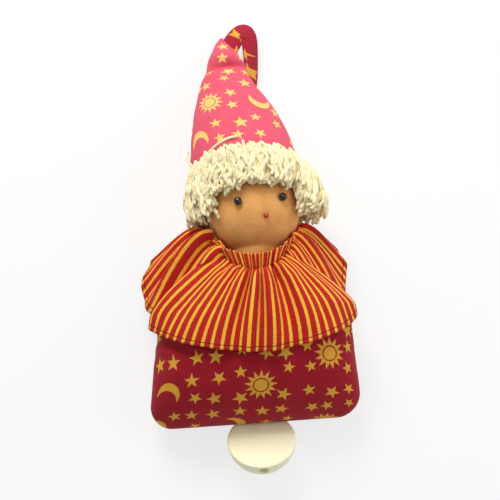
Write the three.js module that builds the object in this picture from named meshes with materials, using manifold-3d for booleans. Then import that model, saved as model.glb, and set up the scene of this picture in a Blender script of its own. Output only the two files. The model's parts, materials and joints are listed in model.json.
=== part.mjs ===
// Music box doll: a cloth doll with a stuffed hat, a ruffled collar and a bag-shaped body.
// The body holds a pull-string musical movement, worked by a wooden knob at the foot.
// Millimetres. The doll lies on its back: +Z is its front, +Y its head end, and the knob is at -Y.

import * as THREE from 'three';
import { mergeVertices } from 'three/addons/utils/BufferGeometryUtils.js';
import Module from 'manifold-3d';

const wasm = await Module();
wasm.setup();

// Clearances
const SEAT = 0.3; // between pieces that rest on one another
const RUN = 0.35; // round a turning shaft
const CLOTH = 1.0; // printed cotton with its backing
const SKIN = 0.9; // tricot of the head
const FLOOR_GAP = 0.3; // under soft edges that almost touch the table

// Body bag, measured from the foot seam towards the neck
const BAG_LENGTH = 91;
const BAG_NECK_Y = -6; // where the bag is tied to the neck
const BAG_HALF_WIDTH = 60.2; // at the foot, before the corner is rounded
const BAG_TAPER = 0.109; // of half width for each millimetre of length
const BAG_CORNER = 14;
const BAG_FRONT = 53; // height of the belly
const BAG_RISE = 52; // length over which the belly rises from the foot
const BAG_FOOT_TUCK = 24; // length over which the back comes down to the table
const BAG_FOOT_Z = 15; // height of the foot seam
const BAG_SHOULDER_AT = 60; // where the shoulders start to draw in
const BAG_REST_END = 52; // where the back starts to leave the table
const BAG_SAG = 2.5; // how far the back would hang below the table it rests on
const BAG_LEAN = 0.06; // sideways lean for each millimetre of length
const BAG_SIDE_FULLNESS = 0.8; // 1 is an ellipse, less is squarer
const BAG_FOOT_PLY = 0.6; // thickness where front and back meet at the foot
const BAG_REST_AT = 40; // the doll's own origin, from the foot seam
// How sharply the bag's outline turns: 1 is straight, more turns late, less turns early
const BAG_CURVE = { shoulder: 1.3, belly: 0.62, chest: 1.6, tuck: 1.1, back: 1.5 };

// Neck: the origin of the working coordinates lies under the chin
const NECK_X = 2;
const NECK_Z = 29;
const NECK_RADIUS = 14.5;
const NECK_DEPTH = 8.5; // length of neck inside the bag
const NECK_EDGE = 17.5; // half width of the bag at the neck
const NECK_TIE = 0.6; // radius of the thread that ties the bag to the neck
const NECK_CUFF = 2; // how far the bag stands off the neck at its end

// Head
const HEAD = { x: 3.5, y: 24, z: 31, rx: 27, ry: 29, rz: 28 };
const EYE_RADIUS = 2.35;
const EYE_LEFT = { x: -4.8, y: 21.4 };
const EYE_RIGHT = { x: 20.3, y: 23.4 };
const NOSE_RADIUS = 1.6;
const NOSE = { x: 10.3, y: 12.8 };
const BEAD_PROUD = 0.45; // share of a bead's radius that its middle stands above the skin

// Hat: stations from the brim to the tip
const HAT_STATIONS = [
  { y: 40, slant: 10, x: 1, half: 32, top: 63, bottom: 1 },
  { y: 52, slant: 5, x: 0, half: 31, top: 60.5, bottom: 1 },
  { y: 64, slant: 1, x: -1, half: 29.3, top: 56.5, bottom: 1 },
  { y: 75, slant: 0, x: -2.2, half: 27, top: 51, bottom: 1 },
  { y: 86, slant: 0, x: -3.8, half: 24, top: 45, bottom: 1 },
  { y: 98, slant: 0, x: -5.8, half: 19.4, top: 37.5, bottom: 1 },
  { y: 107, slant: 0, x: -7, half: 15.8, top: 31.5, bottom: 1 },
  { y: 113, slant: 0, x: -7, half: 13.6, top: 26.5, bottom: 1 },
  { y: 117, slant: 0, x: -6.8, half: 12.3, top: 23, bottom: 1 },
  { y: 122, slant: 0, x: -7.2, half: 10.4, top: 23.5, bottom: 1.2 },
  { y: 128, slant: 0, x: -8.7, half: 6.8, top: 18.5, bottom: 2.5 },
  { y: 132.5, slant: 0, x: -9.8, half: 3.6, top: 14.5, bottom: 4.5 },
  { y: 136.5, slant: 0, x: -10, half: 1.2, top: 11.5, bottom: 7.5 },
];
const HAT_FILL_START = 52; // the wool in the hat starts on the crown of the head

// Hair of cotton yarn, sewn round the face under the brim
const HAIR_IN = 21; // radius where the yarn meets the head
const HAIR_FRINGE = { from: 48, to: 128 };
// By degrees round the head: the lower and upper end of the yarn, and how far out it stands
const HAIR_STATIONS = [
  { angle: -32, low: 16, high: 30, out: 36 },
  { angle: 0, low: 13, high: 44, out: 43 },
  { angle: 30, low: 15, high: 50, out: 40 },
  { angle: 50, low: 29, high: 52, out: 34.5 },
  { angle: 90, low: 31, high: 52, out: 33 },
  { angle: 125, low: 28, high: 51, out: 33.5 },
  { angle: 150, low: 14, high: 47, out: 36.5 },
  { angle: 180, low: 12.5, high: 40, out: 38.5 },
  { angle: 212, low: 16, high: 30, out: 34 },
];

// Collar: a gathered ruffle round the neck
const COLLAR_FOLDS = 20;
const COLLAR_CLOTH = 1.1;
const COLLAR_GATHER = { x: 3, rx: 21, rz: 20, front: -15, side: -2, back: -8, topZ: 50 };
const COLLAR_HEADER = 7.5; // frill above the gathering stitches
const COLLAR_HEADER_FLARE = { side: 3.38, front: 2.6 };
const COLLAR_HEADER_LOW = 2.4; // lowest that the header's edge lies, behind the neck
const COLLAR_GATHER_LIFT = 2; // of the gathers above the bag's front
const COLLAR_LIFT = 4.4; // of the cloth's middle above the bag's front
const COLLAR_DROP = 1.5; // of the cloth's middle below the bag's back
const FOLD = { header: 1.5, gather: 0.6, hem: 2.3, back: 0.45 };
// The hem as it lies, by its angle round the neck from the doll's side
const COLLAR_HEM = [
  { angle: 0, x: 56, y: -16, z: 15 },
  { angle: 18, x: 51.5, y: -34, z: 22 },
  { angle: 40, x: 39, y: -50, z: 36 },
  { angle: 64, x: 19, y: -60, z: 50 },
  { angle: 90, x: -4, y: -61.5, z: 55 },
  { angle: 116, x: -28, y: -56, z: 48 },
  { angle: 140, x: -47, y: -45, z: 33 },
  { angle: 162, x: -61, y: -31, z: 20 },
  { angle: 180, x: -64, y: -14, z: 14 },
  { angle: 198, x: -56, y: 4, z: 9 },
  { angle: 220, x: -38, y: 0, z: 3.5 },
  { angle: 244, x: -22, y: -16, z: 1.6 },
  { angle: 270, x: -1, y: -22, z: 1.4 },
  { angle: 296, x: 20, y: -16, z: 1.6 },
  { angle: 320, x: 35, y: -2, z: 3.5 },
  { angle: 342, x: 50, y: 1, z: 9 },
];

// Hanging loop: a flat strap of the hat's cloth
const STRAP_WIDTH = 11;
const STRAP_THICKNESS = 1.6;
const STRAP_LEAN = { start: 35, end: -25 }; // degrees that the strap's width leans from upright
const STRAP_ROUTE = [
  [-11, 132.5, 10.5],
  [-6.5, 137, 11.5],
  [-0.5, 140, 12],
  [5.5, 142, 12],
  [9.6, 140, 12],
  [11.4, 133, 11.5],
  [11.6, 124, 10],
  [10.4, 115, 8.4],
  [8.2, 107.5, 7],
  [6.6, 103.5, 6.5],
];

// Wooden pull knob: half a ball, drilled across just under its flat face
const KNOB = { x: -0.9, beyondBag: 9.3, radius: 19.3, edge: 1.2 };
const KNOB_TILT = 34; // degrees that the flat face leans towards the head
const KNOB_BORE_DEPTH = 4.4; // axis of the bore below the flat face
const KNOB_BORE = 1.7; // radius where the cord passes
const KNOB_KNOT_BORE = 2.7; // radius of the wider end that hides the knot
const KNOB_KNOT_DEPTH = 9;
const KNOB_MOUTH = { length: 2.4, flare: 1.6, sunk: 0.1 }; // where the bore's ends are eased
const KNOB_KNOT_MOUTH = 2.1; // radius inside the eased end of the knot's bore
const KNOT_RADIUS = 2.2;
const CORD_RADIUS = 0.9;
const CORD_TUNNEL = 2.3; // radius of the way through cloth and wool

// Movement: a round case with its parts on a bedplate
const CASE_WALL = 1.8;
const CASE_FLOOR = 1.6;
const CASE_LID = 1.8;
const CASE_NECK_GAP = 1.5; // from the case to the end of the neck
const CASE_Z = 9; // underside of the case
const CASE_BOSS = 3;
const CASE_SCREWS = [110, 230, 330]; // degrees
const BED_THICKNESS = 1.5;
const BED_GAP = 2.2; // between the bedplate and the wall
const BRIDGE_GAP = 3.2; // between the bridge and the wall
const MODULE = 0.8;
const DRUM_TEETH = 28;
const CYLINDER_TEETH = 14;
const WHEEL_TEETH = 24;
const FAN_TEETH = 8;
const BACKLASH = 0.22; // taken off the flanks of each tooth
const GEAR_THICKNESS = 1.8;
const DRUM_CORE = 8;
const CORD_TURNS_WIDTH = 5.8;
const FLANGE_RADIUS = 10.8;
const FLANGE = 1;
const BARREL_RADIUS = 10.2;
const BARREL_WALL = 0.9;
const BARREL_DEPTH = 6.2;
const BARREL_LID = 0.8;
const BARREL_CLEAR = 1; // between the barrel's lid and the wheel over it
const DRUM_UP = 5; // from the middle of the case towards the head
const SPRING_TURNS = 5;
const SPRING_THICKNESS = 0.5;
const SPRING_SHORT = 0.4; // that the spring is narrower than its room
const SHAFT_RADIUS = 1.5;
const CYLINDER_AT = 10; // degrees from the drum to the cylinder
const GOVERNOR_AT = -35; // degrees from the cylinder to the governor
const CYLINDER_RADIUS = 5;
const NOTES = 16;
const NOTE_PITCH = 0.8;
const NOTE_BEATS = { from: 40, note: 137, beat: 113 }; // degrees that spread the pins round
const PIN_HEIGHT = 0.5;
const PIN_WIDTH = 0.36;
const PIN_ROOT = 0.4; // depth of a pin inside the cylinder's wall
const COMB_THICKNESS = 0.8;
const COMB_TOOTH = 11;
const COMB_BACK = 5;
const COMB_SLOT = 0.25;
const COMB_CLEARANCE = 0.25; // between the pins' tips and the comb's
const COMB_BASE = 4.5; // thickness of the block that carries the comb
const COMB_BLIND = 1; // of the block left behind its screws
const FAN_RADIUS = 4.6;
const FAN_SHAFT = 0.8;
const FAN_HUB = 0.8; // thickness of the hub's wall
const FAN_BLADE = 0.6;
const BRIDGE_THICKNESS = 1.2;
const ADDENDUM = 0.8; // of the teeth, in modules
const DEDENDUM = 1.15; // of the teeth, in modules
const PRESSURE_ANGLE = 20;
const PILLAR_RADIUS = 2.2;
const PILLAR_WALL_GAP = 1.21; // from the outermost pillar to the wall
const PILLARS = [[0.5, 19.8], [-17, -10], [20.3, 12.4]]; // from the middle of the case
const EYELET = { bore: 1.4, outer: 2.4, flange: 3.3, flangeThickness: 0.9, past: 0.6 };
const SCREW = {
  shank: 0.9,
  length: 9,
  head: 2.2,
  headThickness: 1,
  bedHead: 1.9,
  bedHeadThickness: 0.8,
  bedLength: 6,
  bridgeHead: 1.8,
  bridgeLength: 5,
  combHead: 1.5,
  combHeadThickness: 0.9,
  combAt: [0.22, 0.78], // shares of the comb's height
};
const LAP = 0.1; // by which the joined parts of one piece run into each other
const PAST = 3; // how far a drill or cutter runs past a face

const rad = (degrees) => (degrees * Math.PI) / 180;
const lerp = (a, b, t) => a + (b - a) * t;
const clamp01 = (t) => Math.min(1, Math.max(0, t));
const smooth = (t) => clamp01(t) ** 2 * (3 - 2 * clamp01(t));
const power = (value, exponent) => Math.sign(value) * Math.abs(value) ** exponent;
const vec = (x, y, z) => new THREE.Vector3(x, y, z);

// Solids and booleans

function solid(geometry) {
  const bare = geometry.clone();
  bare.deleteAttribute('normal');
  bare.deleteAttribute('uv');
  const merged = mergeVertices(bare, 1e-4);
  return new wasm.Manifold(new wasm.Mesh({
    numProp: 3,
    vertProperties: merged.attributes.position.array,
    triVerts: new Uint32Array(merged.index.array),
  }));
}

function geometryOf(made) {
  const mesh = made.getMesh();
  const geometry = new THREE.BufferGeometry();
  geometry.setAttribute('position', new THREE.BufferAttribute(Float32Array.from(mesh.vertProperties), 3));
  geometry.setIndex(Array.from(mesh.triVerts));
  geometry.computeVertexNormals();
  return geometry;
}

// A closed solid through rings of points, with a flat cap at each end.
function loft(rings) {
  const count = rings[0].length;
  const points = rings.flat();
  const index = [];
  for (let r = 0; r + 1 < rings.length; r += 1) {
    for (let i = 0; i < count; i += 1) {
      const a = r * count + i;
      const b = r * count + ((i + 1) % count);
      index.push(a, a + count, b, b, a + count, b + count);
    }
  }
  const cap = (ring, offset, turned) => {
    const middle = points.length;
    points.push(ring.reduce((sum, p) => sum.add(p), vec(0, 0, 0)).divideScalar(count));
    for (let i = 0; i < count; i += 1) {
      const a = offset + i;
      const b = offset + ((i + 1) % count);
      index.push(...(turned ? [middle, b, a] : [middle, a, b]));
    }
  };
  cap(rings[0], 0, false);
  cap(rings[rings.length - 1], (rings.length - 1) * count, true);
  const geometry = new THREE.BufferGeometry().setFromPoints(points);
  geometry.setIndex(index);
  return geometry;
}

function placed(geometry, x, y, z) {
  return geometry.clone().translate(x, y, z);
}

// A cylinder standing along Z with its lower face at z.
function post(radius, height, x, y, z, sides = 24) {
  const geometry = new THREE.CylinderGeometry(radius, radius, height, sides);
  geometry.rotateX(Math.PI / 2);
  return placed(geometry, x, y, z + height / 2);
}

// A cylinder between two points.
function rod(radius, from, to, sides = 16) {
  const along = to.clone().sub(from);
  const geometry = new THREE.CylinderGeometry(radius, radius, along.length(), sides);
  geometry.applyQuaternion(new THREE.Quaternion().setFromUnitVectors(vec(0, 1, 0), along.clone().normalize()));
  return placed(geometry, ...from.clone().add(to).multiplyScalar(0.5).toArray());
}

function block(from, to) {
  const size = to.clone().sub(from);
  const middle = from.clone().add(to).multiplyScalar(0.5);
  return placed(new THREE.BoxGeometry(size.x, size.y, size.z), ...middle.toArray());
}

function cut(geometry, ...tools) {
  return tools.reduce((made, tool) => made.subtract(solid(tool)), solid(geometry));
}

function join(...geometries) {
  return geometries.map(solid).reduce((made, next) => made.add(next));
}

function piece(name, form, colour, roughness = 0.8, metalness = 0) {
  const geometry = form instanceof THREE.BufferGeometry ? form : geometryOf(form);
  const material = new THREE.MeshStandardMaterial({ color: colour, roughness, metalness });
  const mesh = new THREE.Mesh(geometry, material);
  mesh.name = name;
  return mesh;
}

// Colours
const CRIMSON = 0xb02a4c;
const STRIPE = 0xc8402f;
const TRICOT = 0xd6a46e;
const YARN = 0xefe3be;
const WOOL = 0xeee6d4;
const WOOD = 0xf3e6b4;
const STEEL = 0xa9adb2;
const BRASS = 0xc9a455;
const CASE_WHITE = 0xe6e4de;

// Body bag

const bagFoot = BAG_NECK_Y - BAG_LENGTH;
const neckEnd = BAG_NECK_Y - NECK_DEPTH;

function seamHeight(s) {
  return lerp(BAG_FOOT_Z, NECK_Z, s / BAG_LENGTH);
}

function bagHalf(s) {
  const straight = BAG_HALF_WIDTH - BAG_TAPER * Math.min(s, BAG_SHOULDER_AT);
  const inCorner = Math.max(0, BAG_CORNER - s);
  const corner = BAG_CORNER - Math.sqrt(BAG_CORNER ** 2 - inCorner ** 2);
  const along = clamp01((s - BAG_SHOULDER_AT) / (BAG_LENGTH - BAG_SHOULDER_AT));
  return straight - corner - (straight - NECK_EDGE) * along ** BAG_CURVE.shoulder;
}

function bagTop(s) {
  const neckTop = NECK_Z + NECK_RADIUS + NECK_CUFF;
  const toFoot = clamp01(1 - s / BAG_RISE);
  const toNeck = clamp01((s - BAG_RISE) / (BAG_LENGTH - BAG_RISE));
  const foot = BAG_FOOT_Z + BAG_FOOT_PLY;
  const belly = foot + (BAG_FRONT - foot) * (1 - toFoot ** 2) ** BAG_CURVE.belly;
  return belly - (BAG_FRONT - neckTop) * toNeck ** BAG_CURVE.chest;
}

function bagBottom(s) {
  const tuck = 1 - clamp01(1 - s / BAG_FOOT_TUCK) ** BAG_CURVE.tuck;
  const toNeck = clamp01((s - BAG_REST_END) / (BAG_LENGTH - BAG_REST_END));
  const rise = NECK_Z - NECK_RADIUS - NECK_CUFF + BAG_SAG;
  return BAG_FOOT_Z - (BAG_FOOT_Z + BAG_SAG) * tuck + rise * toNeck ** BAG_CURVE.back;
}

function bagMiddle(y) {
  return NECK_X + BAG_LEAN * y;
}

// A point moved out from the middle of the bag's section until it is clear of the bag.
function clearOfBag(at, clearance) {
  const s = at.y - bagFoot;
  if (s < 0 || s > BAG_LENGTH + COLLAR_LIFT) return at;
  const seam = seamHeight(s);
  const [x, z] = [at.x - bagMiddle(at.y), at.z - seam];
  const height = z > 0 ? bagTop(s) - seam : seam - Math.max(0, bagBottom(s));
  const full = 2 / BAG_SIDE_FULLNESS;
  const inside = (Math.abs(x) / (bagHalf(s) + clearance)) ** full + (Math.abs(z) / (height + clearance)) ** full;
  if (inside >= 1) return at;
  const out = inside ** (-BAG_SIDE_FULLNESS / 2);
  return vec(bagMiddle(at.y) + x * out, at.y, seam + z * out);
}

function bagSolid(inset, pastNeck = 0) {
  const sides = inset > 0 ? 16 : 24;
  const shares = [0, 0.02, 0.05, 0.1, 0.16, 0.24, 0.34, 0.46, 0.58, 0.69, 0.79, 0.9, 1];
  const rings = shares.map((share) => {
    const s = Math.max(share * BAG_LENGTH, share < 0.5 ? inset : 0);
    const y = s + bagFoot + (share === 1 ? pastNeck : 0);
    const half = bagHalf(s) - inset;
    const seam = seamHeight(s);
    const up = Math.max(0.3, bagTop(s) - seam - inset);
    const down = Math.max(0.3, seam - bagBottom(s) - inset);
    return Array.from({ length: sides }, (_, i) => {
      const angle = (2 * Math.PI * i) / sides;
      const x = bagMiddle(y) + half * power(Math.cos(angle), BAG_SIDE_FULLNESS);
      const rise = power(Math.sin(angle), BAG_SIDE_FULLNESS);
      return vec(x, y, Math.max(inset, seam + rise * (rise > 0 ? up : down)));
    });
  });
  const distinct = rings.filter((ring, i) => i === 0 || ring[0].y - rings[i - 1][0].y > 0.2);
  return loft(distinct);
}

// Half of space on one side of the tilted plane that holds the side seams.
function seamSide(front) {
  const slope = Math.atan2(NECK_Z - BAG_FOOT_Z, BAG_LENGTH);
  const size = 4 * BAG_LENGTH;
  const geometry = new THREE.BoxGeometry(size, size, size);
  geometry.translate(0, 0, (front ? 1 : -1) * (size + SEAT) / 2);
  geometry.rotateX(slope);
  return placed(geometry, 0, BAG_NECK_Y, NECK_Z);
}

function neckRod(radius, from, to) {
  return rod(radius, vec(NECK_X, from, NECK_Z), vec(NECK_X, to, NECK_Z), 24);
}

// Movement places, in working coordinates: the case is as wide and as high as what it holds
const pillarReach = Math.max(...PILLARS.map(([x, y]) => Math.hypot(x, y))) + PILLAR_RADIUS;
const caseInner = pillarReach + PILLAR_WALL_GAP;
const caseRadius = caseInner + CASE_WALL;
const caseY = neckEnd - CASE_NECK_GAP - caseRadius;
const caseFloor = CASE_Z + CASE_FLOOR;
const bedTop = caseFloor + SEAT + BED_THICKNESS;
const cordAt = DRUM_CORE + SEAT + CORD_RADIUS;
const cordClear = Math.sqrt((cordAt + CORD_RADIUS) ** 2 - (cordAt - CORD_RADIUS) ** 2) + SEAT;
const drum = { x: -cordAt, y: caseY + DRUM_UP };
const meshDrum = (MODULE * (DRUM_TEETH + CYLINDER_TEETH)) / 2;
const meshFan = (MODULE * (WHEEL_TEETH + FAN_TEETH)) / 2;
const cylinder = {
  x: drum.x + meshDrum * Math.cos(rad(CYLINDER_AT)),
  y: drum.y + meshDrum * Math.sin(rad(CYLINDER_AT)),
};
const governor = {
  x: cylinder.x + meshFan * Math.cos(rad(GOVERNOR_AT)),
  y: cylinder.y + meshFan * Math.sin(rad(GOVERNOR_AT)),
};
const gearZ = bedTop + SEAT;
const windingZ = gearZ + GEAR_THICKNESS;
const flangeZ = windingZ + CORD_TURNS_WIDTH;
const barrelZ = flangeZ + FLANGE;
const cordZ = windingZ + CORD_RADIUS + SEAT;
const barrelLidZ = barrelZ + BARREL_DEPTH + SEAT;
const wheelZ = barrelLidZ + BARREL_LID + BARREL_CLEAR;
const bridgeZ = wheelZ + GEAR_THICKNESS + SEAT;
const lidZ = bridgeZ + BRIDGE_THICKNESS + SEAT;
const caseTop = lidZ + CASE_LID;
const caseHeight = caseTop - CASE_Z;
const notesZ = gearZ + GEAR_THICKNESS + SEAT;
const caseMouth = caseY - caseRadius;

// Knob places
const knobUp = vec(0, Math.sin(rad(KNOB_TILT)), Math.cos(rad(KNOB_TILT)));
const knobAlong = vec(0, -Math.cos(rad(KNOB_TILT)), Math.sin(rad(KNOB_TILT)));
const knobCentre = vec(KNOB.x, bagFoot - KNOB.beyondBag, KNOB.radius + FLOOR_GAP);
const boreMiddle = knobCentre.clone().addScaledVector(knobUp, -KNOB_BORE_DEPTH);
const boreHalf = Math.sqrt(KNOB.radius ** 2 - KNOB_BORE_DEPTH ** 2);
const boreAt = (along) => boreMiddle.clone().addScaledVector(knobAlong, along);
const knotAt = boreHalf - KNOB_KNOT_DEPTH + KNOT_RADIUS + SEAT;

// The cord's way from the drum to the knot in the knob, chosen by hand between its ends
function cordRoute() {
  return [
    vec(0, drum.y - cordClear, cordZ),
    vec(0, caseY - 12, cordZ),
    vec(0, caseMouth - 1, cordZ),
    vec(0, caseMouth - 5.5, cordZ - 2.6),
    vec(0, -85, 7.6),
    vec(-0.2, -89, 5.6),
    boreAt(-boreHalf + 0.5),
    boreAt(-boreHalf + 5),
    boreAt(0),
    boreAt(knotAt - KNOT_RADIUS - SEAT),
  ];
}

function tube(points, radius, steps, sides) {
  const curve = new THREE.CatmullRomCurve3(points, false, 'centripetal');
  const section = new THREE.Shape(Array.from({ length: sides }, (_, i) => {
    const angle = (2 * Math.PI * i) / sides;
    return new THREE.Vector2(radius * Math.cos(angle), radius * Math.sin(angle));
  }));
  return new THREE.ExtrudeGeometry(section, { steps, extrudePath: curve, curveSegments: 1 });
}

function cordHole(radius) {
  const way = cordRoute();
  return [
    rod(radius, way[2].clone().setY(caseMouth + 4), way[3]),
    rod(radius, way[3].clone().add(vec(0, 1.4, 0.5)), way[4]),
    rod(radius, way[4].clone().add(vec(0, 1.4, 0.5)), way[5].clone().add(vec(0, -4, -1.6))),
  ];
}

function makeBag() {
  const shell = solid(bagSolid(0)).subtract(solid(bagSolid(CLOTH, 1)));
  const open = shell.subtract(solid(neckRod(NECK_RADIUS + SEAT, neckEnd, HEAD.y)));
  const pierced = cordHole(CORD_TUNNEL).reduce((made, hole) => made.subtract(solid(hole)), open);
  const front = pierced.intersect(solid(seamSide(true)));
  const back = pierced.intersect(solid(seamSide(false)));
  const pocket = post(caseRadius + SEAT, caseHeight + 2 * SEAT, 0, caseY, CASE_Z - SEAT, 40);
  const neckPocket = neckRod(NECK_RADIUS + SEAT, neckEnd - SEAT, HEAD.y);
  const eyeletFace = caseMouth - EYELET.flangeThickness - 2 * SEAT;
  const eyeletPocket = rod(EYELET.flange + SEAT, vec(0, eyeletFace, cordZ), vec(0, caseMouth + PAST, cordZ), 20);
  const wool = cut(bagSolid(CLOTH + SEAT, -CLOTH), pocket, neckPocket, eyeletPocket, ...cordHole(CORD_TUNNEL));
  return [
    piece('bag_front', front, CRIMSON, 0.9),
    piece('bag_back', back, CRIMSON, 0.9),
    piece('body_wool', wool, WOOL, 1),
  ];
}

// Head

function headBall(grow) {
  const inside = grow < 0;
  const geometry = new THREE.SphereGeometry(1, inside ? 14 : 20, inside ? 9 : 12);
  geometry.rotateX(Math.PI / 2);
  geometry.scale(HEAD.rx + grow, HEAD.ry + grow, HEAD.rz + grow);
  return placed(geometry, HEAD.x, HEAD.y, HEAD.z);
}

function faceHeight({ x, y }) {
  const u = (x - HEAD.x) / HEAD.rx;
  const v = (y - HEAD.y) / HEAD.ry;
  return HEAD.z + HEAD.rz * Math.sqrt(1 - u * u - v * v);
}

function bead(at, radius, grow = 0) {
  const geometry = new THREE.SphereGeometry(radius + grow, 10, 6);
  return placed(geometry, at.x, at.y, faceHeight(at) + BEAD_PROUD * radius);
}

function makeHead() {
  const sockets = [bead(EYE_LEFT, EYE_RADIUS, SEAT), bead(EYE_RIGHT, EYE_RADIUS, SEAT), bead(NOSE, NOSE_RADIUS, SEAT)];
  const neck = join(headBall(0), neckRod(NECK_RADIUS, neckEnd, HEAD.y));
  const hollow = join(headBall(-SKIN), neckRod(NECK_RADIUS - SKIN, neckEnd - 1, HEAD.y));
  const skin = sockets.reduce((made, hole) => made.subtract(solid(hole)), neck.subtract(hollow));
  const core = join(headBall(-SKIN - SEAT), neckRod(NECK_RADIUS - SKIN - SEAT, neckEnd, HEAD.y));
  const wool = sockets.reduce((made, hole) => made.subtract(solid(hole)), core);
  const tie = new THREE.TorusGeometry(NECK_RADIUS + SEAT + NECK_TIE, NECK_TIE, 4, 20);
  tie.rotateX(Math.PI / 2);
  return [
    piece('head_skin', skin, TRICOT, 0.9),
    piece('head_wool', wool, WOOL, 1),
    piece('neck_tie', placed(tie, NECK_X, BAG_NECK_Y + NECK_TIE + SEAT, NECK_Z), YARN, 0.9),
    piece('eye_left', bead(EYE_LEFT, EYE_RADIUS), 0x0c0c0e, 0.15),
    piece('eye_right', bead(EYE_RIGHT, EYE_RADIUS), 0x0c0c0e, 0.15),
    piece('nose', bead(NOSE, NOSE_RADIUS), 0xce3a22, 0.3),
  ];
}

// Hat

function hatSolid(inset, start = 0) {
  const sides = inset > 0 ? 14 : 20;
  const stations = HAT_STATIONS.filter((station) => station.y >= start && station.half > inset + 0.5);
  const rings = stations.map((station, at) => {
    const middle = (station.top + station.bottom) / 2;
    const rise = (station.top - station.bottom) / 2 - inset;
    const atBrim = at === 0 && !start;
    const early = atBrim ? Math.max(-inset, 3 * inset) : 0; // the hollow runs out past the brim
    return Array.from({ length: sides }, (_, i) => {
      const angle = (2 * Math.PI * i) / sides;
      const x = station.x + (station.half - inset) * Math.cos(angle);
      const y = station.y - early + station.slant * Math.sin(angle);
      return vec(x, y, middle + rise * Math.sin(angle));
    });
  });
  return loft(rings);
}

function makeHat() {
  const cloth = cut(hatSolid(0), hatSolid(CLOTH));
  const wool = cut(hatSolid(CLOTH + SEAT, HAT_FILL_START), headBall(SEAT));
  return [piece('hat', cloth, CRIMSON, 0.9), piece('hat_wool', wool, WOOL, 1)];
}

// Hair

function hairSection(angle) {
  const next = Math.max(1, HAIR_STATIONS.findIndex((station) => station.angle >= angle));
  const [a, b] = [HAIR_STATIONS[next - 1], HAIR_STATIONS[next]];
  const share = (angle - a.angle) / (b.angle - a.angle);
  const low = lerp(a.low, b.low, share);
  const high = lerp(a.high, b.high, share);
  const thick = (lerp(a.out, b.out, share) - HAIR_IN) / 2;
  return { radius: HAIR_IN + thick, thick, half: (high - low) / 2, middleY: (high + low) / 2 };
}

function hairLock(from, to) {
  const steps = Math.ceil((to - from) / 13);
  const sides = 14;
  const rings = Array.from({ length: steps + 1 }, (_, k) => {
    const angle = lerp(from, to, k / steps);
    const { radius, thick, half, middleY } = hairSection(angle);
    return Array.from({ length: sides }, (__, i) => {
      const turn = (2 * Math.PI * i) / sides;
      const out = radius + thick * Math.cos(turn);
      const z = HEAD.z + out * Math.sin(rad(angle));
      return vec(HEAD.x + out * Math.cos(rad(angle)), middleY - half * Math.sin(turn), Math.max(FLOOR_GAP, z));
    });
  });
  const band = solid(loft(rings)).subtract(solid(headBall(SEAT)));
  return band.subtract(solid(hatSolid(-SEAT)));
}

function makeHair() {
  const half = 0.5; // degrees that part two neighbouring locks
  const [first, last] = [HAIR_STATIONS[0].angle, HAIR_STATIONS[HAIR_STATIONS.length - 1].angle];
  return [
    piece('hair_right', hairLock(first, HAIR_FRINGE.from - half), YARN, 1),
    piece('hair_front', hairLock(HAIR_FRINGE.from + half, HAIR_FRINGE.to - half), YARN, 1),
    piece('hair_left', hairLock(HAIR_FRINGE.to + half, last), YARN, 1),
  ];
}

// Collar

function gatherPoint(angle) {
  const up = Math.sin(angle);
  const g = COLLAR_GATHER;
  const y = g.side + ((g.front - g.back) / 2) * up + ((g.front + g.back) / 2 - g.side) * up * up;
  const middleZ = g.topZ - g.rz;
  const at = vec(g.x + g.rx * Math.cos(angle), y, middleZ + g.rz * up);
  return clearOfBag(at, collarClearance(angle, 0));
}

function collarClearance(angle, down) {
  const lift = lerp(COLLAR_GATHER_LIFT, COLLAR_LIFT, Math.min(1, 4 * down));
  return lerp(COLLAR_DROP, lift, smooth((Math.sin(angle) + 0.5) / 0.6));
}

function headerPoint(angle) {
  const at = gatherPoint(angle);
  at.x += COLLAR_HEADER_FLARE.side * Math.cos(angle);
  at.z = Math.max(COLLAR_HEADER_LOW, at.z + COLLAR_HEADER_FLARE.front * Math.sin(angle));
  at.y += COLLAR_HEADER;
  return at;
}

const hemCurve = new THREE.CatmullRomCurve3(COLLAR_HEM.map((p) => vec(p.x, p.y, p.z)), true, 'catmullrom', 0.5);

function hemPoint(angle) {
  const degrees = (((angle * 180) / Math.PI) % 360 + 360) % 360;
  const count = COLLAR_HEM.length;
  let at = COLLAR_HEM.findIndex((p, i) => (COLLAR_HEM[i + 1]?.angle ?? 360) > degrees);
  at = Math.max(0, at);
  const next = COLLAR_HEM[at + 1]?.angle ?? 360;
  const share = (degrees - COLLAR_HEM[at].angle) / (next - COLLAR_HEM[at].angle);
  return hemCurve.getPoint((at + share) / count);
}

// A point of the cloth's middle: down is -1 at the header's edge, 0 at the gathers and 1 at the hem.
function collarPoint(angle, down) {
  const gather = gatherPoint(angle);
  if (down <= 0) return gather.lerp(headerPoint(angle), -down);
  const at = clearOfBag(gather.clone().lerp(hemPoint(angle), down), collarClearance(angle, down));
  at.z = Math.max(COLLAR_CLOTH + FLOOR_GAP, at.z);
  return at;
}

function foldDepth(angle, down) {
  const shown = smooth((Math.sin(angle) + 0.55) / 0.5);
  const deep = down < 0 ? lerp(FOLD.gather, FOLD.header, -down) : lerp(FOLD.gather, FOLD.hem, Math.min(1, down * 2.5));
  return lerp(FOLD.back, deep, shown);
}

function collarNormal(angle, down) {
  const step = 0.02;
  const across = collarPoint(angle + step, down).sub(collarPoint(angle - step, down));
  const along = collarPoint(angle, Math.min(1, down + step)).sub(collarPoint(angle, Math.max(-1, down - step)));
  const normal = along.cross(across).normalize();
  const outward = vec(Math.cos(angle), 0, Math.sin(angle));
  return normal.dot(outward) < 0 ? normal.negate() : normal;
}

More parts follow.
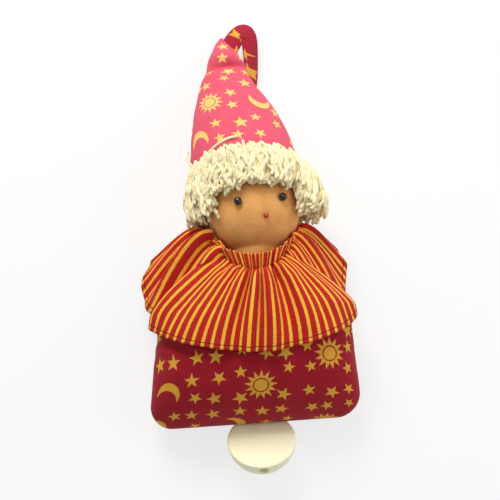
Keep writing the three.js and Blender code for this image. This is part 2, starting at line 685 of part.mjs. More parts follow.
function makeCollar() {
  const rows = [-1, 0, 0.2, 0.42, 0.62, 0.82, 1];
  const around = COLLAR_FOLDS * 4;
  const middle = rows.map((down) => Array.from({ length: around }, (_, i) => {
    const angle = (2 * Math.PI * i) / around;
    const fold = foldDepth(angle, down) * Math.cos(COLLAR_FOLDS * angle);
    return collarPoint(angle, down).addScaledVector(collarNormal(angle, down), fold);
  }));
  const side = (out) => middle.map((row, r) => row.map((at, i) => {
    const angle = (2 * Math.PI * i) / around;
    const point = at.clone().addScaledVector(collarNormal(angle, rows[r]), (out * COLLAR_CLOTH) / 2);
    point.z = Math.max(FLOOR_GAP, point.z);
    return point;
  }));
  const outer = side(1);
  const inner = side(-1);
  const loop = [...outer, ...inner.reverse()];
  const points = loop.flat();
  const index = [];
  loop.forEach((_, r) => {
    const here = r * around;
    const there = ((r + 1) % loop.length) * around;
    for (let i = 0; i < around; i += 1) {
      const j = (i + 1) % around;
      index.push(here + i, here + j, there + i, here + j, there + j, there + i);
    }
  });
  const geometry = new THREE.BufferGeometry().setFromPoints(points);
  geometry.setIndex(index);
  return [piece('collar', geometry, STRIPE, 0.9)];
}

// Hanging loop

function makeLoop() {
  const curve = new THREE.CatmullRomCurve3(STRAP_ROUTE.map((p) => vec(...p)), false, 'centripetal');
  const steps = 26;
  const rings = Array.from({ length: steps + 1 }, (_, k) => {
    const at = curve.getPoint(k / steps);
    const along = curve.getTangent(k / steps);
    const lean = rad(lerp(STRAP_LEAN.start, STRAP_LEAN.end, smooth(k / steps)));
    const flat = vec(0, 0, 1).cross(along).normalize();
    const wide = vec(0, 0, 1).applyAxisAngle(along, lean);
    const thick = flat.applyAxisAngle(along, lean);
    const corners = [[-1, -1], [1, -1], [1, 1], [-1, 1]];
    return corners.map(([w, t]) => at.clone()
      .addScaledVector(wide, (w * STRAP_WIDTH) / 2)
      .addScaledVector(thick, (t * STRAP_THICKNESS) / 2));
  });
  rings.flat().forEach((point) => {
    point.z = Math.max(FLOOR_GAP, point.z);
  });
  const strap = solid(loft(rings)).subtract(solid(hatSolid(-SEAT)));
  const largest = strap.decompose().sort((a, b) => b.volume() - a.volume())[0];
  return [piece('hanging_loop', largest, CRIMSON, 0.9)];
}

// Knob and cord

function makeKnob() {
  const profile = [new THREE.Vector2(0, -KNOB.radius)];
  const arcSteps = 9;
  for (let i = 1; i <= arcSteps; i += 1) {
    const turn = (i / arcSteps) * (Math.PI / 2 - Math.asin(KNOB.edge / KNOB.radius));
    profile.push(new THREE.Vector2(KNOB.radius * Math.sin(turn), -KNOB.radius * Math.cos(turn)));
  }
  profile.push(new THREE.Vector2(KNOB.radius - KNOB.edge * 0.5, -KNOB.edge * 0.25));
  profile.push(new THREE.Vector2(KNOB.radius - KNOB.edge * 1.3, 0));
  profile.push(new THREE.Vector2(0, 0));
  const ball = new THREE.LatheGeometry(profile, 24);
  ball.applyQuaternion(new THREE.Quaternion().setFromUnitVectors(vec(0, 1, 0), knobUp));
  ball.translate(...knobCentre.toArray());
  const past = boreHalf + PAST;
  const mouth = (side, radius) => {
    const cone = new THREE.CylinderGeometry(radius + KNOB_MOUTH.flare, radius, KNOB_MOUTH.length, 14);
    const outward = knobAlong.clone().multiplyScalar(side);
    cone.applyQuaternion(new THREE.Quaternion().setFromUnitVectors(vec(0, 1, 0), outward));
    return placed(cone, ...boreAt(side * (boreHalf - KNOB_MOUTH.sunk)).toArray());
  };
  const wood = cut(
    ball,
    rod(KNOB_BORE, boreAt(-past), boreAt(past), 14),
    rod(KNOB_KNOT_BORE, boreAt(boreHalf - KNOB_KNOT_DEPTH), boreAt(past), 14),
    mouth(-1, KNOB_BORE),
    mouth(1, KNOB_KNOT_MOUTH),
  );
  const knot = new THREE.SphereGeometry(KNOT_RADIUS, 10, 7);
  const cord = tube(cordRoute(), CORD_RADIUS, 32, 8);
  return [
    piece('pull_knob', wood, WOOD, 0.6),
    piece('cord_knot', placed(knot, ...boreAt(knotAt).toArray()), YARN, 0.9),
    piece('pull_cord', cord, YARN, 0.9),
  ];
}

// Musical movement

function gearShape(teeth, phase, bore) {
  const pitch = (MODULE * teeth) / 2;
  const base = pitch * Math.cos(rad(PRESSURE_ANGLE));
  const root = pitch - DEDENDUM * MODULE;
  const tip = pitch + ADDENDUM * MODULE;
  const involute = (radius) => {
    const pressure = Math.acos(Math.min(1, base / radius));
    return Math.tan(pressure) - pressure;
  };
  const halfAt = (radius) => Math.PI / (2 * teeth) - BACKLASH / (2 * pitch) + involute(pitch) - involute(radius);
  const flank = [root, tip];
  const outline = [];
  for (let k = 0; k < teeth; k += 1) {
    const middle = phase + (2 * Math.PI * k) / teeth;
    const place = (radius, side) => {
      const turn = middle + side * halfAt(Math.max(radius, base * 1.0001));
      outline.push(new THREE.Vector2(radius * Math.cos(turn), radius * Math.sin(turn)));
    };
    flank.forEach((radius) => place(radius, -1));
    [...flank].reverse().forEach((radius) => place(radius, 1));
  }
  const shape = new THREE.Shape(outline);
  shape.holes.push(new THREE.Path().absarc(0, 0, bore, 0, 2 * Math.PI, true));
  return shape;
}

function plate(shape, thickness, x, y, z) {
  return placed(new THREE.ExtrudeGeometry(shape, { depth: thickness, bevelEnabled: false, curveSegments: 12 }), x, y, z);
}

function disc(radius, bore, thickness, x, y, z) {
  return cut(post(radius, thickness, x, y, z, 20), post(bore, thickness + 2 * PAST, x, y, z - PAST, 12));
}

const bossRing = caseInner - CASE_BOSS + 4 * LAP;
const bosses = CASE_SCREWS.map((angle) => ({
  x: bossRing * Math.cos(rad(angle)),
  y: caseY + bossRing * Math.sin(rad(angle)),
}));
const pillars = PILLARS.map(([x, y]) => ({ x, y: caseY + y }));
const combX = cylinder.x;
const combTip = cylinder.y - CYLINDER_RADIUS - PIN_HEIGHT - COMB_CLEARANCE;
const combRoot = combTip - COMB_TOOTH;
const combBack = combRoot - COMB_BACK;
const combFace = combX + COMB_THICKNESS / 2 + SEAT;
const combFoot = { x: combFace + COMB_BASE / 2, y: combBack + COMB_BACK / 2 };
const bedScrewPlaces = [...pillars, combFoot];

function bossPosts(grow, top) {
  return bosses.map((at) => post(CASE_BOSS + grow, top - caseFloor, at.x, at.y, caseFloor, 12));
}

function screw(head, headThickness, shank, length, at, z, up) {
  const cap = post(head, headThickness, at.x, at.y, up ? z : z - headThickness, 10);
  const stem = post(shank, length, at.x, at.y, up ? z + headThickness - LAP : z - headThickness - length + LAP, 8);
  return join(cap, stem);
}

// The cord's way through the case's wall, from outside to inside.
function mouthRod(radius, from, to) {
  return rod(radius, vec(0, caseMouth + from, cordZ), vec(0, caseMouth + to, cordZ), 12);
}

function makeCase() {
  const throughWall = CASE_WALL + EYELET.past;
  const eyelet = join(
    mouthRod(EYELET.outer, -SEAT - LAP, throughWall),
    mouthRod(EYELET.flange, -SEAT - EYELET.flangeThickness, -SEAT),
  ).subtract(solid(mouthRod(EYELET.bore, -PAST, throughWall + PAST)));
  const wallTop = lidZ - SEAT;
  const cup = solid(post(caseRadius, wallTop - CASE_Z, 0, caseY, CASE_Z, 32))
    .subtract(solid(post(caseInner, caseHeight, 0, caseY, caseFloor, 32)));
  let base = bossPosts(0, wallTop).reduce((made, boss) => made.add(solid(boss)), cup);
  bosses.forEach((at) => {
    base = base.subtract(solid(post(SCREW.shank + SEAT, caseHeight, at.x, at.y, wallTop - SCREW.length - SEAT, 8)));
  });
  bedScrewPlaces.forEach((at) => {
    base = base.subtract(solid(post(SCREW.shank + SEAT, CASE_FLOOR + 2 * PAST, at.x, at.y, CASE_Z - PAST, 8)));
    base = base.subtract(solid(post(SCREW.bedHead + SEAT, PAST + SCREW.bedHeadThickness, at.x, at.y, CASE_Z - PAST, 10)));
  });
  base = base.subtract(solid(mouthRod(EYELET.outer + SEAT, -PAST, throughWall + PAST)));
  let lid = solid(post(caseRadius, CASE_LID, 0, caseY, lidZ, 32));
  bosses.forEach((at) => {
    lid = lid.subtract(solid(post(SCREW.shank + SEAT, CASE_LID + 2 * PAST, at.x, at.y, lidZ - PAST, 8)));
    lid = lid.subtract(solid(post(SCREW.head + SEAT, PAST, at.x, at.y, caseTop - SCREW.headThickness - SEAT, 10)));
  });
  const screws = bosses.map((at, i) => piece(
    `case_screw_${i + 1}`,
    screw(SCREW.head, SCREW.headThickness, SCREW.shank, SCREW.length, at, caseTop, false),
    STEEL, 0.35, 0.9,
  ));
  return [
    piece('case_base', base, CASE_WHITE, 0.5),
    piece('case_lid', lid, CASE_WHITE, 0.5),
    piece('cord_eyelet', eyelet, BRASS, 0.35, 0.9),
    ...screws,
  ];
}

function makeFrame() {
  const shaftTop = bridgeZ + BRIDGE_THICKNESS;
  let bed = solid(post(caseInner - BED_GAP, BED_THICKNESS, 0, caseY, caseFloor + SEAT, 24));
  let bridge = solid(post(caseInner - BRIDGE_GAP, BRIDGE_THICKNESS, 0, caseY, bridgeZ, 24));
  const drill = (made, radius, at) => made.subtract(solid(post(radius, 2 * caseHeight, at.x, at.y, CASE_Z - PAST, 10)));
  bossPosts(SEAT, caseTop).forEach((boss) => {
    bed = bed.subtract(solid(boss));
    bridge = bridge.subtract(solid(boss));
  });
  [[drum, SHAFT_RADIUS + SEAT], [cylinder, SHAFT_RADIUS + RUN], [governor, FAN_SHAFT + RUN]].forEach(([at, radius]) => {
    bed = drill(bed, radius, at);
    bridge = drill(bridge, radius, at);
  });
  bedScrewPlaces.forEach((at) => {
    bed = drill(bed, SCREW.shank + SEAT, at);
  });
  pillars.forEach((at) => {
    bridge = drill(bridge, SCREW.shank + SEAT, at);
  });
  const pillarTop = bridgeZ - SEAT;
  const pieces = pillars.flatMap((at, i) => {
    const body = cut(
      post(PILLAR_RADIUS, pillarTop - gearZ, at.x, at.y, gearZ, 10),
      post(SCREW.shank + SEAT, SCREW.bedLength, at.x, at.y, gearZ - 1, 8),
      post(SCREW.shank + SEAT, SCREW.bridgeLength + PAST, at.x, at.y, pillarTop - SCREW.bridgeLength, 8),
    );
    const top = screw(SCREW.bridgeHead, SEAT, SCREW.shank, SCREW.bridgeLength, at, shaftTop + SEAT, false);
    return [piece(`bridge_pillar_${i + 1}`, body, BRASS, 0.35, 0.9), piece(`bridge_screw_${i + 1}`, top, STEEL, 0.35, 0.9)];
  });
  const bedScrews = bedScrewPlaces.map((at, i) => piece(
    `bed_screw_${i + 1}`,
    screw(SCREW.bedHead, SCREW.bedHeadThickness, SCREW.shank, SCREW.bedLength + 1, at, CASE_Z, true),
    STEEL, 0.35, 0.9,
  ));
  return [
    piece('bedplate', bed, STEEL, 0.4, 0.9),
    piece('top_bridge', bridge, STEEL, 0.4, 0.9),
    ...pieces,
    ...bedScrews,
  ];
}

function makeDrum() {
  const woundTo = DRUM_CORE + SEAT + 2 * CORD_RADIUS;
  const turns = disc(woundTo, DRUM_CORE + SEAT, CORD_TURNS_WIDTH - 2 * SEAT, drum.x, drum.y, windingZ + SEAT);
  const gear = plate(gearShape(DRUM_TEETH, rad(CYLINDER_AT), SHAFT_RADIUS + RUN), GEAR_THICKNESS, drum.x, drum.y, gearZ);
  const body = solid(gear)
    .add(solid(post(DRUM_CORE, CORD_TURNS_WIDTH, drum.x, drum.y, windingZ, 20)))
    .add(solid(post(FLANGE_RADIUS, FLANGE, drum.x, drum.y, flangeZ, 20)))
    .add(solid(post(BARREL_RADIUS, BARREL_DEPTH, drum.x, drum.y, barrelZ, 20)))
    .subtract(solid(post(BARREL_RADIUS - BARREL_WALL, BARREL_DEPTH + PAST, drum.x, drum.y, barrelZ, 20)))
    .subtract(solid(post(SHAFT_RADIUS + RUN, caseHeight, drum.x, drum.y, gearZ - PAST, 12)));
  const lid = disc(BARREL_RADIUS, SHAFT_RADIUS + RUN, BARREL_LID, drum.x, drum.y, barrelLidZ);
  const shaft = post(SHAFT_RADIUS, bridgeZ + BRIDGE_THICKNESS - caseFloor - 2 * SEAT, drum.x, drum.y, caseFloor + SEAT, 12);
  return [
    piece('cord_drum', body, CASE_WHITE, 0.5),
    piece('cord_winding', turns, YARN, 0.9),
    piece('barrel_lid', lid, BRASS, 0.35, 0.9),
    piece('drum_shaft', shaft, STEEL, 0.3, 0.9),
    piece('mainspring', mainspring(), STEEL, 0.3, 0.9),
  ];
}

function mainspring() {
  const inner = SHAFT_RADIUS + 2 * SEAT + SPRING_THICKNESS;
  const outer = BARREL_RADIUS - BARREL_WALL - SEAT - SPRING_THICKNESS / 2;
  const steps = SPRING_TURNS * 10;
  const side = (offset) => Array.from({ length: steps + 1 }, (_, k) => {
    const radius = lerp(inner, outer, k / steps) + offset;
    const turn = (2 * Math.PI * SPRING_TURNS * k) / steps;
    return new THREE.Vector2(radius * Math.cos(turn), radius * Math.sin(turn));
  });
  const outline = [...side(SPRING_THICKNESS / 2), ...side(-SPRING_THICKNESS / 2).reverse()];
  return plate(new THREE.Shape(outline), BARREL_DEPTH - 2 * SEAT - SPRING_SHORT, drum.x, drum.y, barrelZ + SEAT);
}

function makeCylinder() {
  const { x, y } = cylinder;
  const height = wheelZ - SEAT - notesZ;
  let notes = disc(CYLINDER_RADIUS, SHAFT_RADIUS + SEAT, height, x, y, notesZ);
  const firstNote = notesZ + (height - (NOTES - 1) * NOTE_PITCH) / 2;
  for (let note = 0; note < NOTES; note += 1) {
    for (let beat = 0; beat < 2; beat += 1) {
      const turn = (note * NOTE_BEATS.note + beat * NOTE_BEATS.beat + NOTE_BEATS.from) % 360;
      const pin = new THREE.BoxGeometry(PIN_HEIGHT + PIN_ROOT, PIN_WIDTH, PIN_WIDTH);
      pin.translate(CYLINDER_RADIUS + (PIN_HEIGHT - PIN_ROOT) / 2, 0, 0);
      pin.rotateZ(rad(turn));
      notes = notes.add(solid(placed(pin, x, y, firstNote + note * NOTE_PITCH)));
    }
  }
  const phase = rad(CYLINDER_AT + 180) + Math.PI / CYLINDER_TEETH;
  const pinion = plate(gearShape(CYLINDER_TEETH, phase, SHAFT_RADIUS + SEAT), GEAR_THICKNESS, x, y, gearZ);
  const wheel = plate(gearShape(WHEEL_TEETH, rad(GOVERNOR_AT), SHAFT_RADIUS + SEAT), GEAR_THICKNESS, x, y, wheelZ);
  const shaft = post(SHAFT_RADIUS, bridgeZ + BRIDGE_THICKNESS - caseFloor - 2 * SEAT, x, y, caseFloor + SEAT, 12);
  return [
    piece('note_cylinder', notes, BRASS, 0.3, 0.9),
    piece('cylinder_pinion', pinion, BRASS, 0.3, 0.9),
    piece('cylinder_wheel', wheel, CASE_WHITE, 0.5),
    piece('cylinder_shaft', shaft, STEEL, 0.3, 0.9),
  ];
}

function makeComb() {
  const bottom = notesZ + SEAT;
  const top = wheelZ - 2 * SEAT;
  const height = wheelZ - SEAT - notesZ;
  const firstNote = notesZ + (height - (NOTES - 1) * NOTE_PITCH) / 2;
  const outline = [[combBack, bottom], [combRoot, bottom]];
  for (let note = 0; note < NOTES; note += 1) {
    const z = firstNote + note * NOTE_PITCH;
    const half = (NOTE_PITCH - COMB_SLOT) / 2;
    outline.push([combRoot, z - half], [combTip, z - half], [combTip, z + half], [combRoot, z + half]);
  }
  outline.push([combRoot, top], [combBack, top]);
  const shape = new THREE.Shape(outline.map(([y, z]) => new THREE.Vector2(y, z)));
  const blank = new THREE.ExtrudeGeometry(shape, { depth: COMB_THICKNESS, bevelEnabled: false });
  blank.applyMatrix4(new THREE.Matrix4().makeBasis(vec(0, 1, 0), vec(0, 0, 1), vec(1, 0, 0)));
  const leaf = placed(blank, combX - COMB_THICKNESS / 2, 0, 0);
  const screwZ = SCREW.combAt.map((share) => lerp(bottom, top, share));
  const screwEnd = combFace + COMB_BASE - COMB_BLIND;
  const way = (z, radius, from, to) => rod(radius, vec(from, combFoot.y, z), vec(to, combFoot.y, z), 12);
  const holes = screwZ.map((z) => way(z, SCREW.shank + SEAT, combX - PAST, screwEnd));
  const foot = block(vec(combFace, combBack, gearZ), vec(combFace + COMB_BASE, combRoot, top));
  const footHole = post(SCREW.shank + SEAT, SCREW.bedLength, combFoot.x, combFoot.y, gearZ - 1, 12);
  const headAt = combX - COMB_THICKNESS / 2 - SEAT;
  const screws = screwZ.map((z, i) => {
    const head = way(z, SCREW.combHead, headAt - SCREW.combHeadThickness, headAt);
    const stem = way(z, SCREW.shank, headAt - LAP, screwEnd - SEAT);
    return piece(`comb_screw_${i + 1}`, join(head, stem), STEEL, 0.35, 0.9);
  });
  return [
    piece('comb', cut(leaf, ...holes), STEEL, 0.3, 0.9),
    piece('comb_base', cut(foot, footHole, ...holes), BRASS, 0.4, 0.9),
    ...screws,
  ];
}

function makeGovernor() {
  const { x, y } = governor;
  const phase = rad(GOVERNOR_AT + 180) + Math.PI / FAN_TEETH;
  const pinion = plate(gearShape(FAN_TEETH, phase, FAN_SHAFT + SEAT), GEAR_THICKNESS, x, y, wheelZ);
  const shaft = post(FAN_SHAFT, bridgeZ + BRIDGE_THICKNESS - caseFloor - 2 * SEAT, x, y, caseFloor + SEAT, 16);
  const fanTop = wheelZ - 2 * SEAT;
  const half = FAN_BLADE / 2;
  const blades = block(vec(x - FAN_RADIUS, y - half, notesZ), vec(x + FAN_RADIUS, y + half, fanTop));
  const fan = join(blades, post(FAN_SHAFT + SEAT + FAN_HUB, fanTop - notesZ, x, y, notesZ, 16))
    .subtract(solid(post(FAN_SHAFT + SEAT, caseHeight, x, y, notesZ - PAST, 16)));
  return [
    piece('governor_pinion', pinion, CASE_WHITE, 0.5),
    piece('governor_shaft', shaft, STEEL, 0.3, 0.9),
    piece('governor_fan', fan, CASE_WHITE, 0.5),
  ];
}

const doll = new THREE.Group();
doll.add(...makeBag(), ...makeHead(), ...makeHat(), ...makeHair(), ...makeCollar(), ...makeLoop());
doll.add(...makeKnob(), ...makeCase(), ...makeFrame(), ...makeDrum());
doll.add(...makeCylinder(), ...makeComb(), ...makeGovernor());
doll.position.y = -(bagFoot + BAG_REST_AT);

export default doll;
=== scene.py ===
"""Music box doll: the cloth, yarn, wood and light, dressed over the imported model.

The doll lies on its back. Its own millimetres put y = 0 under the chin, x across and z up from the table.
"""
from __future__ import annotations

import json
import logging
import math
import random
from abc import ABC, abstractmethod
from dataclasses import dataclass, field
from enum import Enum
from typing import Callable, Iterable, NamedTuple, Sequence

import bmesh
import bpy
from mathutils import Matrix, Vector, noise

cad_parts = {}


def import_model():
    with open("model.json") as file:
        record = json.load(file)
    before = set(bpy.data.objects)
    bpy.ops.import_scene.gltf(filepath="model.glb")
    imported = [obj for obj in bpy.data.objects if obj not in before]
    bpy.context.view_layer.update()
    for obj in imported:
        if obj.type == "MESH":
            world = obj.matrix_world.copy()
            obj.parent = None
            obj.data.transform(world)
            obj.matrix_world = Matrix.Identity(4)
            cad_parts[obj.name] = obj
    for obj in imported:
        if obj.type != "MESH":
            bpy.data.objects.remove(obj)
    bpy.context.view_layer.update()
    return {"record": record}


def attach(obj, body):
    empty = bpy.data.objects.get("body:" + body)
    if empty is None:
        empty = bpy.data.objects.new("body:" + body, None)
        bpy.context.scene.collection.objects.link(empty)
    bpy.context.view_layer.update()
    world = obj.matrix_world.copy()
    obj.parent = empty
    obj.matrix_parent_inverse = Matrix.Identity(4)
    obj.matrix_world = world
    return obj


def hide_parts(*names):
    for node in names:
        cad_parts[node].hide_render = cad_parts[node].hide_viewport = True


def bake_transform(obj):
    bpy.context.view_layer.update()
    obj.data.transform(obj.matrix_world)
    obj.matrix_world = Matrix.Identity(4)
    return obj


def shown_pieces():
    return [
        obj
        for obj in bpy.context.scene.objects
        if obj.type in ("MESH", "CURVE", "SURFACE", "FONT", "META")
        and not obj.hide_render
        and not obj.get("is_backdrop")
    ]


LOG = logging.getLogger("music_box_doll")

MM = 0.001
CHIN_Y = 57.0  # millimetres from the middle of the doll's back to the chin
STRIPE_EVERY = 5.3  # millimetres of the collar's cloth
ANGLE_NEAR = 0.02  # step that finds the way a surface faces
Colour = tuple[float, float, float, float]
Socket = bpy.types.NodeSocket
Material = bpy.types.Material
Place = Callable[[float, float], Vector]
Cloth = Callable[[float, float], tuple[float, float]]


class Body(str, Enum):
    """The moving bodies that visible pieces ride on."""

    DOLL = "doll"
    KNOB = "knob"


# Geometry helpers


def metres(x: float, y: float, z: float) -> Vector:
    """A point of the doll's own millimetres, in the row frame in metres."""
    return Vector((x, y + CHIN_Y, z)) * MM


def lerp(a: float, b: float, t: float) -> float:
    """The value a share t of the way from a to b."""
    return a + (b - a) * t


def clamp01(t: float) -> float:
    """t kept between 0 and 1."""
    return min(1.0, max(0.0, t))


def smooth(t: float) -> float:
    """A smooth step from 0 to 1."""
    t = clamp01(t)
    return t * t * (3 - 2 * t)


def signed_power(value: float, exponent: float) -> float:
    """A power that keeps the sign of its base."""
    return math.copysign(abs(value) ** exponent, value)


def from_back(u: float) -> float:
    """The angle in a section, a share of the way round it from the back."""
    return math.tau * u - math.pi / 2


def bend(points: Iterable[Sequence[float]], t: float) -> tuple[Vector, Vector]:
    """The place and the direction a share of the way between the middle two of four points."""
    a, b, c, d = map(Vector, points)
    first, second, third = c - a, 2 * a - 5 * b + 4 * c - d, 3 * (b - c) + d - a
    return b + 0.5 * t * (first + t * (second + t * third)), 0.5 * (first + t * (2 * second + 3 * t * third))


def curve(points: Sequence[Sequence[float]], share: float) -> tuple[Vector, Vector]:
    """The place and the direction on a smooth curve through points, at a share of its way."""
    last = len(points) - 1
    at = min(last - 1, int(share * last))
    return bend((points[min(last, max(0, at + k))] for k in (-1, 0, 1, 2)), share * last - at)


def bezier(a: Vector, b: Vector, c: Vector, d: Vector, t: float) -> Vector:
    """A point of a Bezier curve."""
    s = 1 - t
    return a * s**3 + b * 3 * t * s**2 + c * 3 * t * t * s + d * t**3


def ripple(x: float, y: float, z: float, wavelength: float) -> float:
    """Smooth noise from -1 to 1 at a point in millimetres."""
    return noise.noise(Vector((x, y, z)) / wavelength)


def surface(
    name: str,
    columns: int,
    rows: int,
    place: Place,
    cloth: Cloth,
    closed: bool = False,
) -> bpy.types.Object:
    """A grid bent into a surface, with a UV map in metres of cloth.

    Args:
        name: The piece's name.
        columns: Faces across.
        rows: Faces along.
        place: From the shares across and along to a point in doll millimetres.
        cloth: From the same shares to the place on the flat cloth in millimetres.
        closed: Whether the two long edges meet.
    """
    mesh = bmesh.new()
    bmesh.ops.create_grid(mesh, x_segments=columns, y_segments=rows, size=0.5)
    layer = mesh.loops.layers.uv.verify()
    shares = {vert: (vert.co.x + 0.5, vert.co.y + 0.5) for vert in mesh.verts}
    for face in mesh.faces:
        for loop in face.loops:
            loop[layer].uv = Vector(cloth(*shares[loop.vert])) * MM
    for vert, (u, v) in shares.items():
        vert.co = metres(*place(u, v))
    if closed:
        bmesh.ops.remove_doubles(mesh, verts=mesh.verts, dist=1e-6)
    bmesh.ops.recalc_face_normals(mesh, faces=mesh.faces)
    return finished(name, mesh)


def measured(
    columns: int,
    rows: int,
    place: Place,
    shift: tuple[float, float] = (0.0, 0.0),
) -> Cloth:
    """The flat cloth of a surface, measured from the middle of its front and shifted over its print."""
    front = columns // 2
    across: list[list[float]] = []
    along = [0.0]
    before: Vector | None = None
    for j in range(rows + 1):
        row = [place(i / columns, j / rows) for i in range(columns + 1)]
        run = [0.0]
        for a, b in zip(row, row[1:]):
            run.append(run[-1] + (b - a).length)
        across.append([x - run[front] for x in run])
        if before is not None:
            along.append(along[-1] + (row[front] - before).length)
        before = row[front]

    def cloth(u: float, v: float) -> tuple[float, float]:
        """The place on the flat cloth."""
        i, j = round(u * columns), round(v * rows)
        return across[j][i] + shift[0], along[j] + shift[1]

    return cloth


def finished(name: str, mesh: bmesh.types.BMesh, flat: bool = False) -> bpy.types.Object:
    """The object that holds a bmesh, shaded smooth unless flat is asked for."""
    data = bpy.data.meshes.new(name)
    mesh.to_mesh(data)
    mesh.free()
    if not flat:
        data.shade_smooth()
    piece = bpy.data.objects.new(name, data)
    bpy.context.scene.collection.objects.link(piece)
    return piece


def thicken(piece: bpy.types.Object, thickness: float, offset: float = -1.0) -> None:
    """Give a sheet its thickness in millimetres, inwards unless offset says otherwise."""
    solid = piece.modifiers.new("cloth thickness", "SOLIDIFY")
    solid.thickness = thickness * MM
    solid.offset = offset
    solid.use_even_offset = False
    solid.use_rim = True


def dress(piece: bpy.types.Object, material: Material) -> None:
    """Give a piece its material."""
    piece.data.materials.clear()
    piece.data.materials.append(material)


def stuff(name: str, place: Place, wool: Material, node: str) -> None:
    """Model the wool that fills a cloth shape, closed at both ends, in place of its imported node."""
    wad = surface(name, 48, 30, place, lambda u, v: (u * 150.0, v * 90.0), closed=True)
    mesh = bmesh.new()
    mesh.from_mesh(wad.data)
    bmesh.ops.holes_fill(mesh, edges=[edge for edge in mesh.edges if edge.is_boundary])
    bmesh.ops.recalc_face_normals(mesh, faces=mesh.faces)
    mesh.to_mesh(wad.data)
    mesh.free()
    dress(wad, wool)
    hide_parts(node)
    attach(wad, Body.DOLL.value)


# Finishes


def linear(value: int, dim: float = 1.0) -> Colour:
    """An sRGB hex value as linear colour, dimmed by a factor."""
    channels = [((value >> shift) & 255) / 255 for shift in (16, 8, 0)]
    bent = [c / 12.92 if c <= 0.04045 else ((c + 0.055) / 1.055) ** 2.4 for c in channels]
    return (*(c * dim for c in bent), 1.0)


class Graph:
    """A material's node tree, with short ways to add nodes to it."""

    def __init__(self, name: str) -> None:
        self.material = bpy.data.materials.new(name)
        self.material.use_nodes = True
        self.tree = self.material.node_tree
        self.tree.nodes.clear()

    def add(
        self, kind: str, *values: object, named: dict[str, object] | None = None, **settings: object,
    ) -> bpy.types.Node:
        """Add a node with a value or a socket for each input, in order or by name."""
        node = self.tree.nodes.new(f"ShaderNode{kind}")
        for key, value in settings.items():
            setattr(node, key, value)
        for key, value in [*enumerate(values), *(named or {}).items()]:
            if isinstance(value, Socket):
                self.tree.links.new(value, node.inputs[key])
            elif value is not None:
                node.inputs[key].default_value = value
        return node

    def math(self, operation: str, *values: object) -> Socket:
        """A calculation on numbers."""
        return self.add("Math", *values, operation=operation).outputs[0]

    def vector(self, operation: str, *values: object) -> Socket:
        """A calculation on vectors."""
        outputs = self.add("VectorMath", *values, operation=operation).outputs
        return outputs["Value" if operation in ("LENGTH", "DISTANCE") else 0]

    def scaled(self, vector: Socket, factor: object) -> Socket:
        """A vector or colour times a number."""
        return self.vector("SCALE", vector, None, None, factor)

    def split(self, vector: Socket) -> bpy.types.NodeOutputs:
        """The X, Y and Z of a vector."""
        return self.add("SeparateXYZ", vector).outputs

    def span(self, value: Socket, low: float, high: float, start: float = 0.0, end: float = 1.0) -> Socket:
        """A value from low to high, mapped from start to end and kept between them."""
        return self.add("MapRange", value, low, high, start, end).outputs[0]

    def mix(self, share: Socket, first: object, second: object) -> Socket:
        """The first colour turning into the second."""
        colours = [linear(c) if isinstance(c, int) else c for c in (first, second)]
        return self.add("MixRGB", share, *colours).outputs[0]

    def noise(self, place: Socket, scale: float, detail: float, output: str = "Fac", **more: float) -> Socket:
        """Cloudy noise."""
        return self.add("TexNoise", place, named={"Scale": scale, "Detail": detail, **more}).outputs[output]

    def cells(self, place: Socket, size: float, randomness: float) -> bpy.types.NodeOutputs:
        """Scattered cells of the flat cloth."""
        values = {"Scale": 1 / size, "Randomness": randomness}
        return self.add("TexVoronoi", place, named=values, voronoi_dimensions="2D").outputs

    def millimetres(self, source: str) -> Socket:
        """The piece's own place in millimetres: its UV map or its Object coordinates."""
        return self.vector("MULTIPLY", self.add("TexCoord").outputs[source], (1000.0,) * 3)

    def shade(
        self, colour: Socket, height: Socket, depth_mm: float, roughness: object, **values: object,
    ) -> None:
        """Close the material with a shader, with a relief of that depth from a height from 0 to 1."""
        bump = self.add("Bump", named={"Distance": depth_mm * MM, "Height": height, "Strength": 1.0})
        named = {key.replace("_", " ").title().replace("Ior", "IOR"): value for key, value in values.items()}
        named |= {"Base Color": colour, "Roughness": roughness, "Normal": bump.outputs["Normal"]}
        self.add("OutputMaterial", self.add("BsdfPrincipled", named=named).outputs[0])


@dataclass(frozen=True)
class Finish(ABC):
    """A finish that builds one node material."""

    name: str

    def material(self) -> Material:
        """Build the material."""
        graph = Graph(self.name)
        self.build(graph)
        return graph.material

    @abstractmethod
    def build(self, graph: Graph) -> None:
        """Add the finish's textures and its shader."""


@dataclass(frozen=True)
class Cotton(Finish):
    """Woven cotton: matt, with a soft sheen from its fibres and a fine thread relief."""

    thread_mm: float = 0.7  # drawn coarser than the real 0.35 mm, so that it shows
    relief_mm: float = 0.06

    def cloth(self, graph: Graph, colour: Socket, place: Socket) -> None:
        """Lay a colour over the weave, a little uneven as dyed cotton is."""
        shade = graph.span(graph.noise(place, 0.09, 3.0, Roughness=0.6), 0.3, 0.7, 0.93, 1.06)
        speck = graph.span(graph.noise(place, 2.2, 2.0), 0.3, 0.7, 0.9, 1.08)
        uneven = graph.scaled(colour, graph.math("MULTIPLY", shade, speck))
        threads = graph.split(graph.scaled(place, math.tau / self.thread_mm))
        woven = graph.math("MULTIPLY", graph.math("SINE", threads["X"]), graph.math("SINE", threads["Y"]))
        height = graph.span(woven, -1.0, 1.0)
        sheen = {"sheen_weight": 0.04, "sheen_roughness": 0.5}
        graph.shade(uneven, height, self.relief_mm, 0.86, specular_ior_level=0.3, **sheen)


